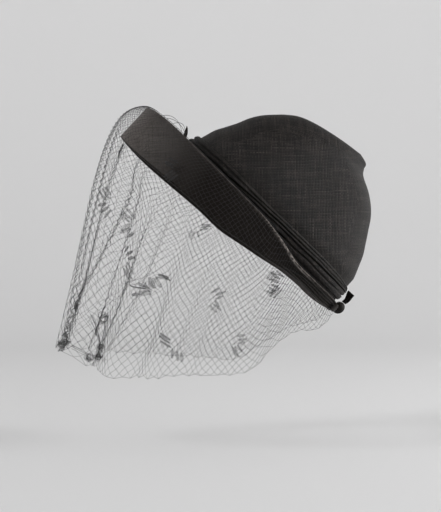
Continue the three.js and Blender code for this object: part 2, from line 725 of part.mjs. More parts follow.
// Lays a motif on the veil: it rests on the outermost facets of the net under its own outline,
// which are found with a grid of MOTIF_PROBES probes each way.
function placeMotif(motif, net, { at, down, turn }) {
  const step = 0.01;
  const middle = veilPoint(at, down);
  const out = veilOut(at, down);
  const across = veilRib(at + step, down).sub(veilRib(at - step, down));
  const sideways = across.addScaledVector(out, -across.dot(out)).normalize();
  const upwards = out.clone().cross(sideways);
  motif.quaternion.setFromRotationMatrix(new THREE.Matrix4().makeBasis(sideways, upwards, out));
  motif.rotateZ(turn * DEG);
  motif.position.copy(middle);
  motif.updateMatrixWorld();

  motif.geometry.computeBoundingBox();
  const { min, max } = motif.geometry.boundingBox;
  const inwards = out.clone().negate();
  const heights = [];
  for (let i = 0; i <= MOTIF_PROBES; i += 1) {
    for (let j = 0; j <= MOTIF_PROBES; j += 1) {
      const x = mix(min.x, max.x, i / MOTIF_PROBES);
      const y = mix(min.y, max.y, j / MOTIF_PROBES);
      const from = motif.localToWorld(new THREE.Vector3(x, y, MOTIF_SIZE));
      const ray = new THREE.Raycaster(from, inwards, 0, 2 * MOTIF_SIZE);
      if (ray.intersectObject(motif).length === 0) continue;
      for (const { distance } of ray.intersectObject(net)) heights.push(MOTIF_SIZE - distance);
    }
  }
  motif.position.addScaledVector(out, Math.max(...heights) + MOTIF_GAP);
}

// A motif: an upper wing, and a lower one that is its mirror image, round the same hub.
function motifShape() {
  const c = MOTIF_SIZE * Math.cos(WING_TILT * DEG);
  const s = MOTIF_SIZE * Math.sin(WING_TILT * DEG);
  const wing = motifWing.map(
    ({ along, over }) => new THREE.Vector2(s * over - c * along, s * along + c * over),
  );
  const mirrored = wing.slice(1).map((p) => new THREE.Vector2(p.x, -p.y));
  const shape = new THREE.Shape([...wing, ...mirrored.reverse()]);
  return new THREE.ExtrudeGeometry(shape, { depth: MOTIF_THICKNESS, bevelEnabled: false });
}

const finishes = {
  sisal: { color: 0x2b2826, roughness: 0.75, metalness: 0 },
  ribbon: { color: 0x332f2c, roughness: 0.6, metalness: 0 },
  net: { color: 0x2a2a2c, roughness: 0.7, metalness: 0 },
};

function piece(name, geometry, finish) {
  const made = new THREE.Mesh(geometry, new THREE.MeshStandardMaterial(finishes[finish]));
  made.name = name;
  return made;
}

function backBow() {
  const bow = new THREE.Group();
  const tie = piece("back_knot", knot(BACK_KNOT), "ribbon");
  tie.position.copy(backKnotPlace);
  bow.add(tie);
  bow.add(piece("back_tab", backTab(), "ribbon"));
  bow.add(piece("back_loop_left", backLoop(1), "ribbon"));
  bow.add(piece("back_loop_right", backLoop(-1), "ribbon"));
  return bow;
}

// The front bow is seated on the lower fold, with its leaves standing clear of the upper one.
function frontBow() {
  const bow = new THREE.Group();
  const height = FOLD_FOOT + FOLD_LOWER_WIDTH * 0.6;
  const beyond = 2 * SEAT_GAP + foldReach(0, FOLD_LOWER_DEPTH) + FRONT_KNOT.depth / 2;
  bow.position.copy(crownPoint(0, height, beyond));
  bow.add(piece("front_knot", knot(FRONT_KNOT), "ribbon"));
  for (const [name, side] of [["front_leaf_left", 1], ["front_leaf_right", -1]]) {
    const leaf = piece(name, frontLeaf(side), "ribbon");
    leaf.position.z = FRONT_KNOT.height / 2 + SEAT_GAP;
    bow.add(leaf);
  }
  return bow;
}

const hat = new THREE.Group();
hat.rotation.x = -LEAN * DEG;
hat.add(piece("crown", crown(), "sisal"));
hat.add(piece("sisal_fold_lower", lowerFold(), "sisal"));
hat.add(piece("sisal_fold_upper", upperFold(), "sisal"));
hat.add(piece("brim_band", brimBand(), "ribbon"));
hat.add(backBow());
hat.add(frontBow());

const wornHat = new THREE.Group();
wornHat.add(hat);
const net = piece("veil", veil(), "net");
wornHat.add(net);
motifRows.forEach((row, i) => {
  const motif = piece(`motif_${String(i + 1).padStart(2, "0")}`, motifShape(), "net");
  placeMotif(motif, net, row);
  wornHat.add(motif);
});

export default wornHat;
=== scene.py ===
# %% [markdown]
# # A sisal hat with a net veil
# This is a woman's evening hat, held as it is worn: the crown leans back and the veil hangs
# below its rim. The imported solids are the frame, and each step below dresses one of them, at
# its own size and place. Sizes are in metres. The wearer faces -Y, and +X is the wearer's left.

# %% Load the solids
import math
import random

import bpy
import numpy as np
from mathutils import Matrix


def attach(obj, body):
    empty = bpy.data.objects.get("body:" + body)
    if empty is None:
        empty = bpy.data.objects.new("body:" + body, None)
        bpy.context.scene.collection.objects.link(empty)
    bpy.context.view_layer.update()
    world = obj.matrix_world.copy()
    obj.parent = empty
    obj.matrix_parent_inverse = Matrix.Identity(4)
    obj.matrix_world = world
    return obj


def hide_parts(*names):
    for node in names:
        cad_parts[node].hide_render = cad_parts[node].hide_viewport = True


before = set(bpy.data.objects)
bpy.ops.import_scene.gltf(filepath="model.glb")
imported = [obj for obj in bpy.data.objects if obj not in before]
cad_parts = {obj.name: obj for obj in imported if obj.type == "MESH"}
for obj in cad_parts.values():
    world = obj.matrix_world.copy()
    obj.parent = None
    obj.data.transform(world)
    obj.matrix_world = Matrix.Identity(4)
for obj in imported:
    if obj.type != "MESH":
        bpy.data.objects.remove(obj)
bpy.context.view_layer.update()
print("solids to dress:", len(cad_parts))

# %% [markdown]
# ## Camera
# The hat is seen from the wearer's left, level with its middle. A long lens stands well back,
# so that the veil's far side comes out nearly as large as its near side.

# %% Place the camera
CAMERA_DISTANCE = 1.42
CAMERA_AIM = (0.0, -0.0302, -0.0202)
LENS = 100
SENSOR = 36
NEAREST_SEEN = 0.05


def into_scene(name, data):
    """A new object in the scene, which shows the data."""
    made = bpy.data.objects.new(name, data)
    bpy.context.scene.collection.objects.link(made)
    return made


lens = bpy.data.cameras.new("camera")
lens.lens = LENS
lens.sensor_width = SENSOR
lens.clip_start = NEAREST_SEEN
camera = into_scene("camera", lens)
camera.location = (CAMERA_DISTANCE, CAMERA_AIM[1], CAMERA_AIM[2])
camera.rotation_euler = (math.pi / 2, 0, math.pi / 2)
bpy.context.scene.camera = camera
bpy.context.scene.view_settings.view_transform = "Standard"
print("camera distance:", CAMERA_DISTANCE)

# %% [markdown]
# ## Tables and curves
# A milliner works from a few measures and marks between them by eye. Here each shape is a
# short table of shares, read on a smooth curve. The functions work on whole arrays at once,
# because the net below has thousands of crossings.


# %% Read tables on smooth curves
def table(columns, rows):
    """A table as one array for each named column."""
    return {name: np.array([row[i] for row in rows]) for i, name in enumerate(columns.split())}


def mix(a, b, share):
    return a + (b - a) * share


def ease(x):
    return x * x * (3 - 2 * x)


def grown(value, start, full):
    """From 0 at the start to 1 where it is full, with soft ends."""
    return ease(np.clip((value - start) / (full - start), 0, 1))


def bump(x, centre, spread):
    return np.exp(-(((x - centre) / spread) ** 2))


def smooth(rows, key, column, value):
    """The value of a column at a key, on a smooth curve through the rows."""
    keys, values = rows[key], rows[column]
    x = np.clip(value, keys[0], keys[-1])
    i = np.clip(np.searchsorted(keys, x) - 1, 0, len(keys) - 2)
    span = keys[i + 1] - keys[i]
    s = (x - keys[i]) / span
    before = np.maximum(i - 1, 0)
    after = np.minimum(i + 2, len(keys) - 1)
    slope_in = span * (values[i + 1] - values[before]) / (keys[i + 1] - keys[before])
    slope_out = span * (values[after] - values[i]) / (keys[after] - keys[i])
    rise = mix(values[i], values[i + 1], ease(s))
    return rise + slope_in * s * (1 - s) ** 2 - slope_out * s**2 * (1 - s)


def wander(angle, seed, size=1.0):
    """A slow irregular wave round the hat, as cloth has that is laid by hand."""
    chance = random.Random(seed)
    total = 0
    for waves in (2, 3, 5, 8, 13, 21):
        phase = chance.uniform(0, 2 * math.pi)
        total = total + np.sin(np.radians(angle) * waves + phase) / waves**0.6
    return size * total / 2


print("a soft step, a quarter of the way:", ease(0.25))

# %% [markdown]
# ## The hat's own frame
# The hat is easiest to describe upright, before it is leaned back. There z is the height
# above the crown's opening, and an angle is counted in degrees from the front towards the
# wearer's left. At the end each piece is leaned back into the scene.

# %% Turn between the hat's frame and the scene
LEAN = math.radians(43)


def from_front(angle):
    turned = np.mod(angle, 360)
    return np.minimum(turned, 360 - turned)


def on_hat(angle, radius, height, centre):
    """Points at an angle, a radius from an axis that stands behind the origin, and a height."""
    a = np.radians(angle)
    parts = (radius * np.sin(a), centre - radius * np.cos(a), height)
    return np.stack(np.broadcast_arrays(*parts), axis=-1)


def leaned(points, lean=LEAN):
    x, y, z = points[..., 0], points[..., 1], points[..., 2]
    c, s = math.cos(lean), math.sin(lean)
    return np.stack([x, c * y + s * z, c * z - s * y], axis=-1)


def upright(points):
    return leaned(points, -LEAN)


def unit(vectors):
    return vectors / np.linalg.norm(vectors, axis=-1, keepdims=True)


print("the crown's axis leans to:", leaned(np.array([0.0, 0.0, 1.0])).round(3))

# %% [markdown]
# ## Meshes from rings
# Blocked straw and folded ribbon are closed walls. Each one is a stack of closed rings of
# points, so one helper can make them all. It closes the ends with a fan, or joins the last
# ring to the first, and turns the faces out by the sign of the volume.


# %% Make an object, and a mesh from rings
def new_object(name, data, material):
    made = into_scene(name, data)
    data.materials.clear()
    data.materials.append(material)
    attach(made, "root")
    return made


def turn_outwards(mesh):
    points = np.array([v.co for v in mesh.vertices])
    mesh.calc_loop_triangles()
    a, b, c = points[[list(t.vertices) for t in mesh.loop_triangles]].transpose(1, 0, 2)
    if np.sum(a * np.cross(b, c)) < 0:
        mesh.flip_normals()


def faces_between(rows):
    """Faces between rows of point numbers, each of which closes on itself."""
    rows = np.concatenate([rows, rows[:, :1]], axis=1)
    corners = [rows[:-1, :-1], rows[:-1, 1:], rows[1:, 1:], rows[1:, :-1]]
    return np.stack([corner.ravel() for corner in corners], axis=-1).tolist()


def ring_mesh(name, rings, joined=False):
    """A closed mesh over closed rings, which is joined end to end or has a fan at each end."""
    count, around = rings.shape[:2]
    index = np.arange(count * around).reshape(count, around)
    faces = faces_between(np.concatenate([index, index[:1]]) if joined else index)
    points = rings.reshape(-1, 3)
    if not joined:
        points = np.concatenate([points, rings[[0, -1]].mean(axis=1)])
        tip = count * around
        first, last = index[0].tolist(), index[-1].tolist()
        faces += [[tip, first[i], first[i - 1]] for i in range(around)]
        faces += [[tip + 1, last[i - 1], last[i]] for i in range(around)]
    mesh = bpy.data.meshes.new(name)
    mesh.from_pydata(points.tolist(), [], faces)
    turn_outwards(mesh)
    mesh.shade_smooth()
    return mesh


print("faces between two rings of six points:", len(faces_between(np.arange(12).reshape(2, 6))))

# %% [markdown]
# ## Studio
# A sheet of pale paper lies under the hat and curves up all round it. The bend is long, so
# that no line shows where the floor ends. One large soft light stands far off, in front of
# the hat and above it, so that the paper behind gets nearly as much light as the hat does. A
# weak one keeps its back from going flat.

# %% Lay the paper
FLOOR = -0.205
PAPER_FLAT = 1.5
PAPER_BEND = 2.0
PAPER_MIDDLE = 0.0005
PAPER_TURNS = 96
PAPER_BEND_STEPS = 33
PAPER_COLOUR = (0.70, 0.698, 0.70, 1)


def new_finish(name, roughness, gloss):
    """A material, its node tree and its shader, which still lacks a colour."""
    made = bpy.data.materials.new(name)
    made.use_nodes = True
    shader = made.node_tree.nodes["Principled BSDF"]
    shader.inputs["Roughness"].default_value = roughness
    shader.inputs["Specular IOR Level"].default_value = gloss
    return made, made.node_tree, shader


paper_finish, _, paper_shader = new_finish("Pale paper", roughness=0.9, gloss=0.1)
paper_shader.inputs["Base Color"].default_value = PAPER_COLOUR

bend = np.linspace(0, math.pi / 2, PAPER_BEND_STEPS)
profile = [(PAPER_FLAT + PAPER_BEND * math.sin(b), PAPER_BEND * (1 - math.cos(b))) for b in bend]
profile = [(PAPER_MIDDLE, 0.0), (PAPER_FLAT / 2, 0.0), *profile]
turns = np.arange(PAPER_TURNS) * 360 / PAPER_TURNS
bowl = np.stack([on_hat(turns, radius, FLOOR + height, 0.0) for radius, height in profile])
paper_rows = np.arange(bowl.size // 3).reshape(len(profile), PAPER_TURNS)
faces = [face[::-1] for face in faces_between(paper_rows)]
paper_mesh = bpy.data.meshes.new("studio")
paper_mesh.from_pydata(bowl.reshape(-1, 3).tolist(), [], faces)
paper_mesh.shade_smooth()
paper_mesh.materials.append(paper_finish)
studio = into_scene("studio", paper_mesh)
print("paper faces:", len(faces))

# %% Light it
AIR = 0.29

world = bpy.data.worlds.new("studio air")
world.use_nodes = True
air = world.node_tree.nodes["Background"]
air.inputs["Color"].default_value = (1.0, 1.0, 1.0, 1)
air.inputs["Strength"].default_value = AIR
bpy.context.scene.world = world


def soft_light(name, place, size, power):
    """A round lamp that looks at the hat. Its size is in metres and its power in watts."""
    light = bpy.data.lights.new(name, "AREA")
    light.shape = "DISK"
    light.size = size
    light.energy = power
    lamp = into_scene(name, light)
    lamp.location = place
    lamp.rotation_mode = "QUATERNION"
    lamp.rotation_quaternion = (-lamp.location).to_track_quat("-Z", "Y")
    lamp.visible_camera = False
    print(name, "stands", round(lamp.location.length, 2), "m away")


soft_light("front_light", place=(2.0, -4.7, 3.1), size=2.6, power=290)
soft_light("back_light", place=(0.15, 2.7, 0.8), size=1.0, power=70)

# %% [markdown]
# ## Woven relief, fading and painted top light
# Sisal and ribbon are both plain weaves, at different pitches. The weave is a shader group:
# two rows of threads pass over and under each other, along the two directions that a face
# looks across. Each thread has its own tone, because straw is never even. A second group
# fades the dye in broad patches, and paints light into the colour where the cloth looks up.


# %% Helpers for node trees
def feed(tree, socket, value):
    """Gives an input a plain value, or a link from another node's output."""
    if isinstance(value, bpy.types.NodeSocket):
        tree.links.new(value, socket)
    else:
        socket.default_value = value


def add(tree, kind, settings=None, **inputs):
    """Adds a node. Keyword inputs are values, or sockets to link."""
    node = tree.nodes.new(kind)
    for key, value in (settings or {}).items():
        setattr(node, key, value)
    for key, value in inputs.items():
        name = key.replace("_", " ")
        feed(tree, next(s for s in node.inputs if s.name == name and s.enabled), value)
    return node


def math_node(tree, operation, *values):
    node = tree.nodes.new("ShaderNodeMath")
    node.operation = operation
    for socket, value in zip(node.inputs, values):
        feed(tree, socket, value)
    return node.outputs[0]


def blended(tree, share, low, high, kind="RGBA", blend="MIX"):
    """A mix of two colours or values, which are sockets or plain values."""
    node = tree.nodes.new("ShaderNodeMix")
    node.data_type = kind
    if kind == "RGBA":
        node.blend_type = blend
    first = 6 if kind == "RGBA" else 2
    for socket, value in ((0, share), (first, low), (first + 1, high)):
        feed(tree, node.inputs[socket], value)
    return node.outputs[2 if kind == "RGBA" else 0]


def shader_group(name, inputs, outputs):
    """An empty group, with the nodes that bring its inputs in and take its outputs away."""
    tree = bpy.data.node_groups.new(name, "ShaderNodeTree")
    for label, kind, value in inputs:
        socket = tree.interface.new_socket(label, in_out="INPUT", socket_type=kind)
        if value is not None:
            socket.default_value = value
    for label, kind in outputs:
        tree.interface.new_socket(label, in_out="OUTPUT", socket_type=kind)
    return tree, tree.nodes.new("NodeGroupInput"), tree.nodes.new("NodeGroupOutput")


# %% Plain weave
weave, given, result = shader_group(
    "Plain weave",
    [
        ("Place", "NodeSocketVector", None),
        ("Pitch", "NodeSocketFloat", 0.0015),
        ("Wander", "NodeSocketFloat", 0.5),
    ],
    [("Height", "NodeSocketFloat"), ("Thread", "NodeSocketFloat")],
)
# A thread's tone changes this often in a metre, and this far from thread to thread.
THREAD_RUN = 38.0
THREAD_STEP = 3.7
SWAYS = 120.0

sway = add(weave, "ShaderNodeTexNoise", Vector=given.outputs["Place"], Scale=SWAYS, Detail=2.0)
swayed = add(weave, "ShaderNodeVectorMath", {"operation": "SCALE"}, Vector=sway.outputs["Color"])
amount = math_node(weave, "MULTIPLY", given.outputs["Pitch"], given.outputs["Wander"])
weave.links.new(amount, swayed.inputs["Scale"])
moved = add(weave, "ShaderNodeVectorMath", {"operation": "ADD"})
weave.links.new(given.outputs["Place"], moved.inputs[0])
weave.links.new(swayed.outputs[0], moved.inputs[1])
place = add(weave, "ShaderNodeSeparateXYZ", Vector=moved.outputs[0])
facing = add(weave, "ShaderNodeNewGeometry")
normal = add(weave, "ShaderNodeSeparateXYZ", Vector=facing.outputs["Normal"])
nx, ny, nz = (math_node(weave, "ABSOLUTE", normal.outputs[i]) for i in range(3))
sideways = math_node(weave, "GREATER_THAN", nx, math_node(weave, "MAXIMUM", ny, nz))
upwards = math_node(weave, "GREATER_THAN", nz, ny)
along = blended(weave, sideways, place.outputs[0], place.outputs[1], "FLOAT")
flat = blended(weave, upwards, place.outputs[2], place.outputs[1], "FLOAT")
across = blended(weave, sideways, flat, place.outputs[2], "FLOAT")

turn = math_node(weave, "DIVIDE", math.pi, given.outputs["Pitch"])
warp_wave = math_node(weave, "SINE", math_node(weave, "MULTIPLY", along, turn))
weft_wave = math_node(weave, "SINE", math_node(weave, "MULTIPLY", across, turn))
checker = math_node(weave, "MULTIPLY", warp_wave, weft_wave)
over = math_node(weave, "MULTIPLY_ADD", checker, 0.5, 0.5)
under = math_node(weave, "SUBTRACT", 1.0, over)
warp = math_node(weave, "MULTIPLY", math_node(weave, "ABSOLUTE", warp_wave), over)
weft = math_node(weave, "MULTIPLY", math_node(weave, "ABSOLUTE", weft_wave), under)
weave.links.new(math_node(weave, "MAXIMUM", warp, weft), result.inputs["Height"])


def thread_tone(across_threads, along_thread, offset):
    """A value that is steady along one thread and jumps to the next."""
    number = math_node(weave, "DIVIDE", across_threads, given.outputs["Pitch"])
    number = math_node(weave, "MULTIPLY", math_node(weave, "FLOOR", number), THREAD_STEP)
    spot = add(weave, "ShaderNodeCombineXYZ", X=number, Z=offset)
    weave.links.new(math_node(weave, "MULTIPLY", along_thread, THREAD_RUN), spot.inputs["Y"])
    return add(weave, "ShaderNodeTexNoise", Vector=spot.outputs[0], Scale=1.0, Detail=1.0).outputs[0]


warp_tone = thread_tone(along, across, 0.0)
weft_tone = thread_tone(across, along, 9.0)
warp_on_top = math_node(weave, "GREATER_THAN", warp, weft)
tone = blended(weave, warp_on_top, weft_tone, warp_tone, "FLOAT")
weave.links.new(tone, result.inputs["Thread"])
print("nodes in the plain weave:", len(weave.nodes))

# %% Fading and painted top light
FULLY_FADED = 0.72
fade_and_top_light, given, result = shader_group(
    "Fade and painted top light",
    [
        ("Place", "NodeSocketVector", None),
        ("Colour", "NodeSocketColor", (0.03, 0.03, 0.03, 1)),
        ("Faded and top lit", "NodeSocketColor", (0.08, 0.07, 0.06, 1)),
        ("Patches", "NodeSocketFloat", 60.0),
        ("Least", "NodeSocketFloat", 0.38),
        ("Upward", "NodeSocketFloat", 0.25),
        ("Everywhere", "NodeSocketFloat", 0.4),
    ],
    [("Colour", "NodeSocketColor")],
)
broad = add(fade_and_top_light, "ShaderNodeTexNoise", Vector=given.outputs["Place"], Detail=5.0)
fade_and_top_light.links.new(given.outputs["Patches"], broad.inputs["Scale"])
facing = add(fade_and_top_light, "ShaderNodeNewGeometry")
up = add(fade_and_top_light, "ShaderNodeSeparateXYZ", Vector=facing.outputs["Normal"])
patch = add(fade_and_top_light, "ShaderNodeMapRange", Value=broad.outputs[0], From_Max=FULLY_FADED)
fade_and_top_light.links.new(given.outputs["Least"], patch.inputs["From Min"])
# Painted top light: where the surface faces up, the colour is moved towards the pale one.
painted_top_light = math_node(
    fade_and_top_light, "MULTIPLY_ADD", up.outputs[2], given.outputs["Upward"], given.outputs["Everywhere"]
)
fade_and_top_light_mask = math_node(fade_and_top_light, "MULTIPLY", patch.outputs[0], math_node(fade_and_top_light, "MAXIMUM", painted_top_light, 0.0))
faded_and_lit_colour = blended(fade_and_top_light, fade_and_top_light_mask, given.outputs["Colour"], given.outputs["Faded and top lit"])
fade_and_top_light.links.new(faded_and_lit_colour, result.inputs["Colour"])
print("nodes in the fading:", len(fade_and_top_light.nodes))

# %% A woven finish from the two groups
CLOTH_ROUGHNESS = 0.53
RELIEF_STRENGTH = 0.8
PALE_THREAD_FROM = 0.45
PALE_THREAD_FULL = 0.78
SHADE_IN_HOLLOWS = 0.3
SHADE_ON_RIDGES = 1.2


def cloth(name, colour, fade_and_top_light_colour, straw, pitch, relief, gloss, fade_and_top_light_values, sway_share):
    """A woven material. The fade and top light values are inputs of the group that paints fade and
    top light.
    """
    made, tree, shader = new_finish(name, CLOTH_ROUGHNESS, gloss)
    place_here = add(tree, "ShaderNodeTexCoord").outputs["Object"]
    fade_and_light = add(tree, "ShaderNodeGroup", {"node_tree": fade_and_top_light}, Place=place_here, **fade_and_top_light_values)
    fade_and_light.inputs["Colour"].default_value = (*colour, 1)
    fade_and_light.inputs["Faded and top lit"].default_value = (*fade_and_top_light_colour, 1)
    woven = add(tree, "ShaderNodeGroup", {"node_tree": weave}, Place=place_here, Pitch=pitch)
    woven.inputs["Wander"].default_value = sway_share
    pale = add(
        tree,
        "ShaderNodeMapRange",
        Value=woven.outputs["Thread"],
        From_Min=PALE_THREAD_FROM,
        From_Max=PALE_THREAD_FULL,
    )
    streaked = blended(tree, pale.outputs[0], fade_and_light.outputs["Colour"], (*straw, 1))
    shade = add(
        tree,
        "ShaderNodeMapRange",
        Value=woven.outputs["Height"],
        To_Min=SHADE_IN_HOLLOWS,
        To_Max=SHADE_ON_RIDGES,
    )
    coloured = blended(tree, 1.0, streaked, shade.outputs[0], blend="MULTIPLY")
    tree.links.new(coloured, shader.inputs["Base Color"])
    raised = add(tree, "ShaderNodeBump", Strength=RELIEF_STRENGTH, Distance=relief)
    tree.links.new(woven.outputs["Height"], raised.inputs["Height"])
    tree.links.new(raised.outputs[0], shader.inputs["Normal"])
    print(name, "is woven at", round(pitch * 1000, 2), "mm")
    return made


# %% [markdown]
# ## Crown
# The crown is one sheet of open-woven sisal, damped and pulled over a block. It could be
# draped by simulation, but a block gives the exact shape, so it is lofted through level
# sections: ovals that change size and centre on the way up. A few soft dents are pressed
# into it. The inside follows the outside at the wall's thickness.

# %% Sizes and sections of the crown
CROWN_LENGTH = 0.217
CROWN_WIDTH = 0.168
CROWN_HEIGHT = 0.1344
SISAL_WALL = 0.0014
CROWN_SQUARENESS = 2.2

crown_levels = table("height front back side", [
    (0.0, 1.0, 0.965, 1.0),
    (0.275, 0.945, 0.962, 0.99),
    (0.31, 0.932, 0.949, 0.983),
    (0.39, 0.9, 0.912, 0.958),
    (0.455, 0.853, 0.88, 0.932),
    (0.54, 0.795, 0.816, 0.885),
    (0.625, 0.747, 0.751, 0.83),
    (0.7, 0.686, 0.7, 0.765),
    (0.775, 0.599, 0.627, 0.675),
    (0.835, 0.519, 0.54, 0.578),
    (0.893, 0.41, 0.405, 0.45),
    (0.938, 0.235, 0.352, 0.33),
    (0.975, 0.0, 0.325, 0.18),
    (1.0, -0.23, 0.23, 0.0),
])
crown_dents = table("angle spread height reach depth", [
    (163, 24, 0.85, 0.09, 0.03),
    (205, 20, 0.76, 0.11, 0.026),
    (118, 26, 0.9, 0.07, -0.014),
    (52, 24, 0.78, 0.12, 0.014),
    (318, 28, 0.72, 0.12, 0.016),
    (262, 24, 0.84, 0.1, 0.012),
    (96, 9, 0.62, 0.05, 0.005),
    (72, 7, 0.83, 0.05, 0.005),
    (128, 8, 0.7, 0.05, 0.005),
])


def crown_section(angle, height):
    """The crown's radius at an angle and a height, and the centre of that section."""
    share = np.asarray(height / CROWN_HEIGHT)
    half = CROWN_LENGTH / 2

    def read(column):
        line = np.interp(share, crown_levels["height"], crown_levels[column])
        curve = smooth(crown_levels, "height", column, share)
        return np.where(share < crown_levels["height"][1], line, curve)

    front = read("front") * half
    back = read("back") * half
    side = np.maximum(read("side") * CROWN_WIDTH / 2, 1e-6)
    length = np.maximum((front + back) / 2, 1e-6)
    dent = 0
    for a, spread, level, reach, depth in zip(*crown_dents.values()):
        off = 180 - np.abs(180 - np.mod(angle - a, 360))
        dent = dent + depth * CROWN_HEIGHT * bump(off, 0, spread) * bump(share, level, reach)
    c = np.abs(np.cos(np.radians(angle))) / length
    s = np.abs(np.sin(np.radians(angle))) / side
    oval = (c**CROWN_SQUARENESS + s**CROWN_SQUARENESS) ** (-1 / CROWN_SQUARENESS)
    return np.maximum(oval - dent, 0), (back - front) / 2


print("half the crown's width at its foot:", round(float(crown_section(90.0, 0.0)[0]), 4))

# %% Make the crown
CROWN_COLUMNS = 200
CROWN_TIP = 0.9985
CROWN_SHOULDER = 0.9
ROWS_ABOVE_SHOULDER = 26
ROWS_BELOW_SHOULDER = 62
SHOULDER_STEP = 0.005
CROWN_RIPPLE = 0.0004
RIPPLE_SEED = 5
RIPPLE_TWIST = 70
RIPPLE_WAVES = 19
SMOOTH_TOP = 0.03
sisal_finish = cloth(
    "Black sisal",
    colour=(0.0030, 0.0022, 0.0018),
    fade_and_top_light_colour=(0.0165, 0.0130, 0.0114),
    straw=(0.050, 0.041, 0.0365),
    pitch=0.0015,
    relief=0.0006,
    gloss=0.2,
    fade_and_top_light_values={"Patches": 55.0, "Upward": 0.2, "Everywhere": 0.4},
    sway_share=0.7,
)
crown_turns = np.arange(CROWN_COLUMNS) * 360 / CROWN_COLUMNS
crown_heights = np.concatenate([
    np.linspace(CROWN_TIP, CROWN_SHOULDER, ROWS_ABOVE_SHOULDER),
    np.linspace(CROWN_SHOULDER - SHOULDER_STEP, 0, ROWS_BELOW_SHOULDER),
])


def crown_surface(heights, inset):
    """The crown's rings. The sisal ripples a little, but not near the middle of its top."""
    angle, share = crown_turns[None, :], heights[:, None]
    radius, centre = crown_section(angle, share * CROWN_HEIGHT)
    ripple = CROWN_RIPPLE * wander(angle + share * RIPPLE_TWIST, RIPPLE_SEED)
    ripple = ripple * np.sin(share * RIPPLE_WAVES) * ease(np.clip(radius / SMOOTH_TOP, 0, 1))
    radius = np.maximum(radius - inset + ripple, 0)
    return leaned(on_hat(angle, radius, share * (CROWN_HEIGHT - inset), centre))


outside = crown_surface(crown_heights, 0.0)
inside = crown_surface(crown_heights[::-1], SISAL_WALL)
crown_mesh = ring_mesh("crown_sisal", np.concatenate([outside, inside]))
crown = new_object("crown_sisal", crown_mesh, sisal_finish)
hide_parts("crown")
print("crown faces:", len(crown_mesh.polygons))

# %% [markdown]
# ## Tucked folds
# Two strips of the same sisal are folded round the foot of the crown, and they are fullest
# where the band stands away from them. Each strip is a lofted ring with long tucks pressed
# into it. The tucks wander, because they were laid by hand and stitched from behind.

# %% Sizes and sections of the folds
SEAT_GAP = 0.0003
FOLD_FOOT = 0.012
FOLD_LOWER_WIDTH = 0.010
FOLD_LOWER_DEPTH = 0.0046
FOLD_UPPER_WIDTH = 0.011
FOLD_UPPER_DEPTH = 0.005
FOLD_LIFT = 0.0016
LIFT_ANGLE = 100
LIFT_SPREAD = 28

fold_rows = table("angle width depth", [
    (0, 1.3, 1.2),
    (45, 1.1, 1.1),
    (90, 0.78, 1.0),
    (135, 0.7, 0.8),
    (180, 0.36, 0.6),
])
lower_section = table("step out up", [
    (0, 0, 0),
    (1, 0.55, 0.02),
    (2, 0.92, 0.3),
    (3, 1, 0.7),
    (4, 0.8, 0.98),
    (5, 0, 1),
])
upper_section = table("step out up", [
    (0, 0, 0),
    (1, 0.9, 0.03),
    (2, 1, 0.3),
    (3, 0.72, 0.8),
    (4, 0.4, 1),
    (5, 0, 0.97),
])


def fold_reach(angle, depth):
    a = from_front(angle)
    lift = FOLD_LIFT * bump(a, LIFT_ANGLE, LIFT_SPREAD)
    return depth * smooth(fold_rows, "angle", "depth", a) + lift


print("lower fold, out in front:", round(float(fold_reach(0.0, FOLD_LOWER_DEPTH)), 4))

# %% Make the folds
FOLD_COLUMNS = 320
FOLD_STEPS = 41
TUCK_WIDTH = 0.07
TUCK_DEPTH = 0.45
TUCK_DEEPEST = 0.8
TUCK_UNEVEN = 0.35
TUCK_WANDER = 0.14
FOLD_PUFF = 0.12
FOLD_WANDER = 0.0006
fold_turns = np.arange(FOLD_COLUMNS) * 360 / FOLD_COLUMNS


def fold_strip(name, foot, width, depth, section, tucks, seed):
    """A strip round the crown's foot. Each tuck is a share of the strip's height."""
    steps = np.linspace(0, section["step"][-1], FOLD_STEPS)
    out = np.maximum(smooth(section, "step", "out", steps), 0)[:, None]
    up = np.clip(smooth(section, "step", "up", steps), 0, 1)[:, None]
    angle = fold_turns[None, :]
    pressed = 0
    for i, tuck in enumerate(tucks):
        line = tuck + wander(angle, seed + i, TUCK_WANDER)
        uneven = wander(angle, seed + 9 + i, TUCK_UNEVEN)
        strength = np.clip(TUCK_DEPTH + uneven, 0, TUCK_DEEPEST)
        pressed = pressed + bump(up, line, TUCK_WIDTH) * strength
    puff = 1 + wander(angle, seed + 20, FOLD_PUFF)
    reach = fold_reach(angle, depth) * out * (puff - pressed)
    height = foot + up * width + wander(angle, seed + 30, FOLD_WANDER) * np.minimum(out * 3, 1)
    radius, centre = crown_section(angle, height)
    points = leaned(on_hat(angle, radius + SEAT_GAP + reach, height, centre))
    return ring_mesh(name, points, joined=True)


upper_width = FOLD_UPPER_WIDTH * smooth(fold_rows, "angle", "width", from_front(fold_turns))
upper_foot = FOLD_FOOT + FOLD_LOWER_WIDTH + SEAT_GAP
lower_mesh = fold_strip(
    "lower_fold", FOLD_FOOT, FOLD_LOWER_WIDTH, FOLD_LOWER_DEPTH, lower_section, (0.55,), 3
)
upper_mesh = fold_strip(
    "upper_fold", upper_foot, upper_width, FOLD_UPPER_DEPTH, upper_section, (0.3, 0.68), 11
)
for mesh, node in ((lower_mesh, "sisal_fold_lower"), (upper_mesh, "sisal_fold_upper")):
    fold = new_object(mesh.name, mesh, sisal_finish)
    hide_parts(node)
    print(mesh.name, "faces:", len(mesh.polygons))

# %% [markdown]
# ## Brim band
# The band is ribbon drawn over a stiff foundation. It stands off the crown in front with
# crisp edges. Behind, it narrows, and the ribbon is pleated together where the bow ties it
# off. Its upper edge is turned over a cord there, and a highlight is painted along that roll,
# so the mesh carries a value that tells the finish where the painted highlight goes.

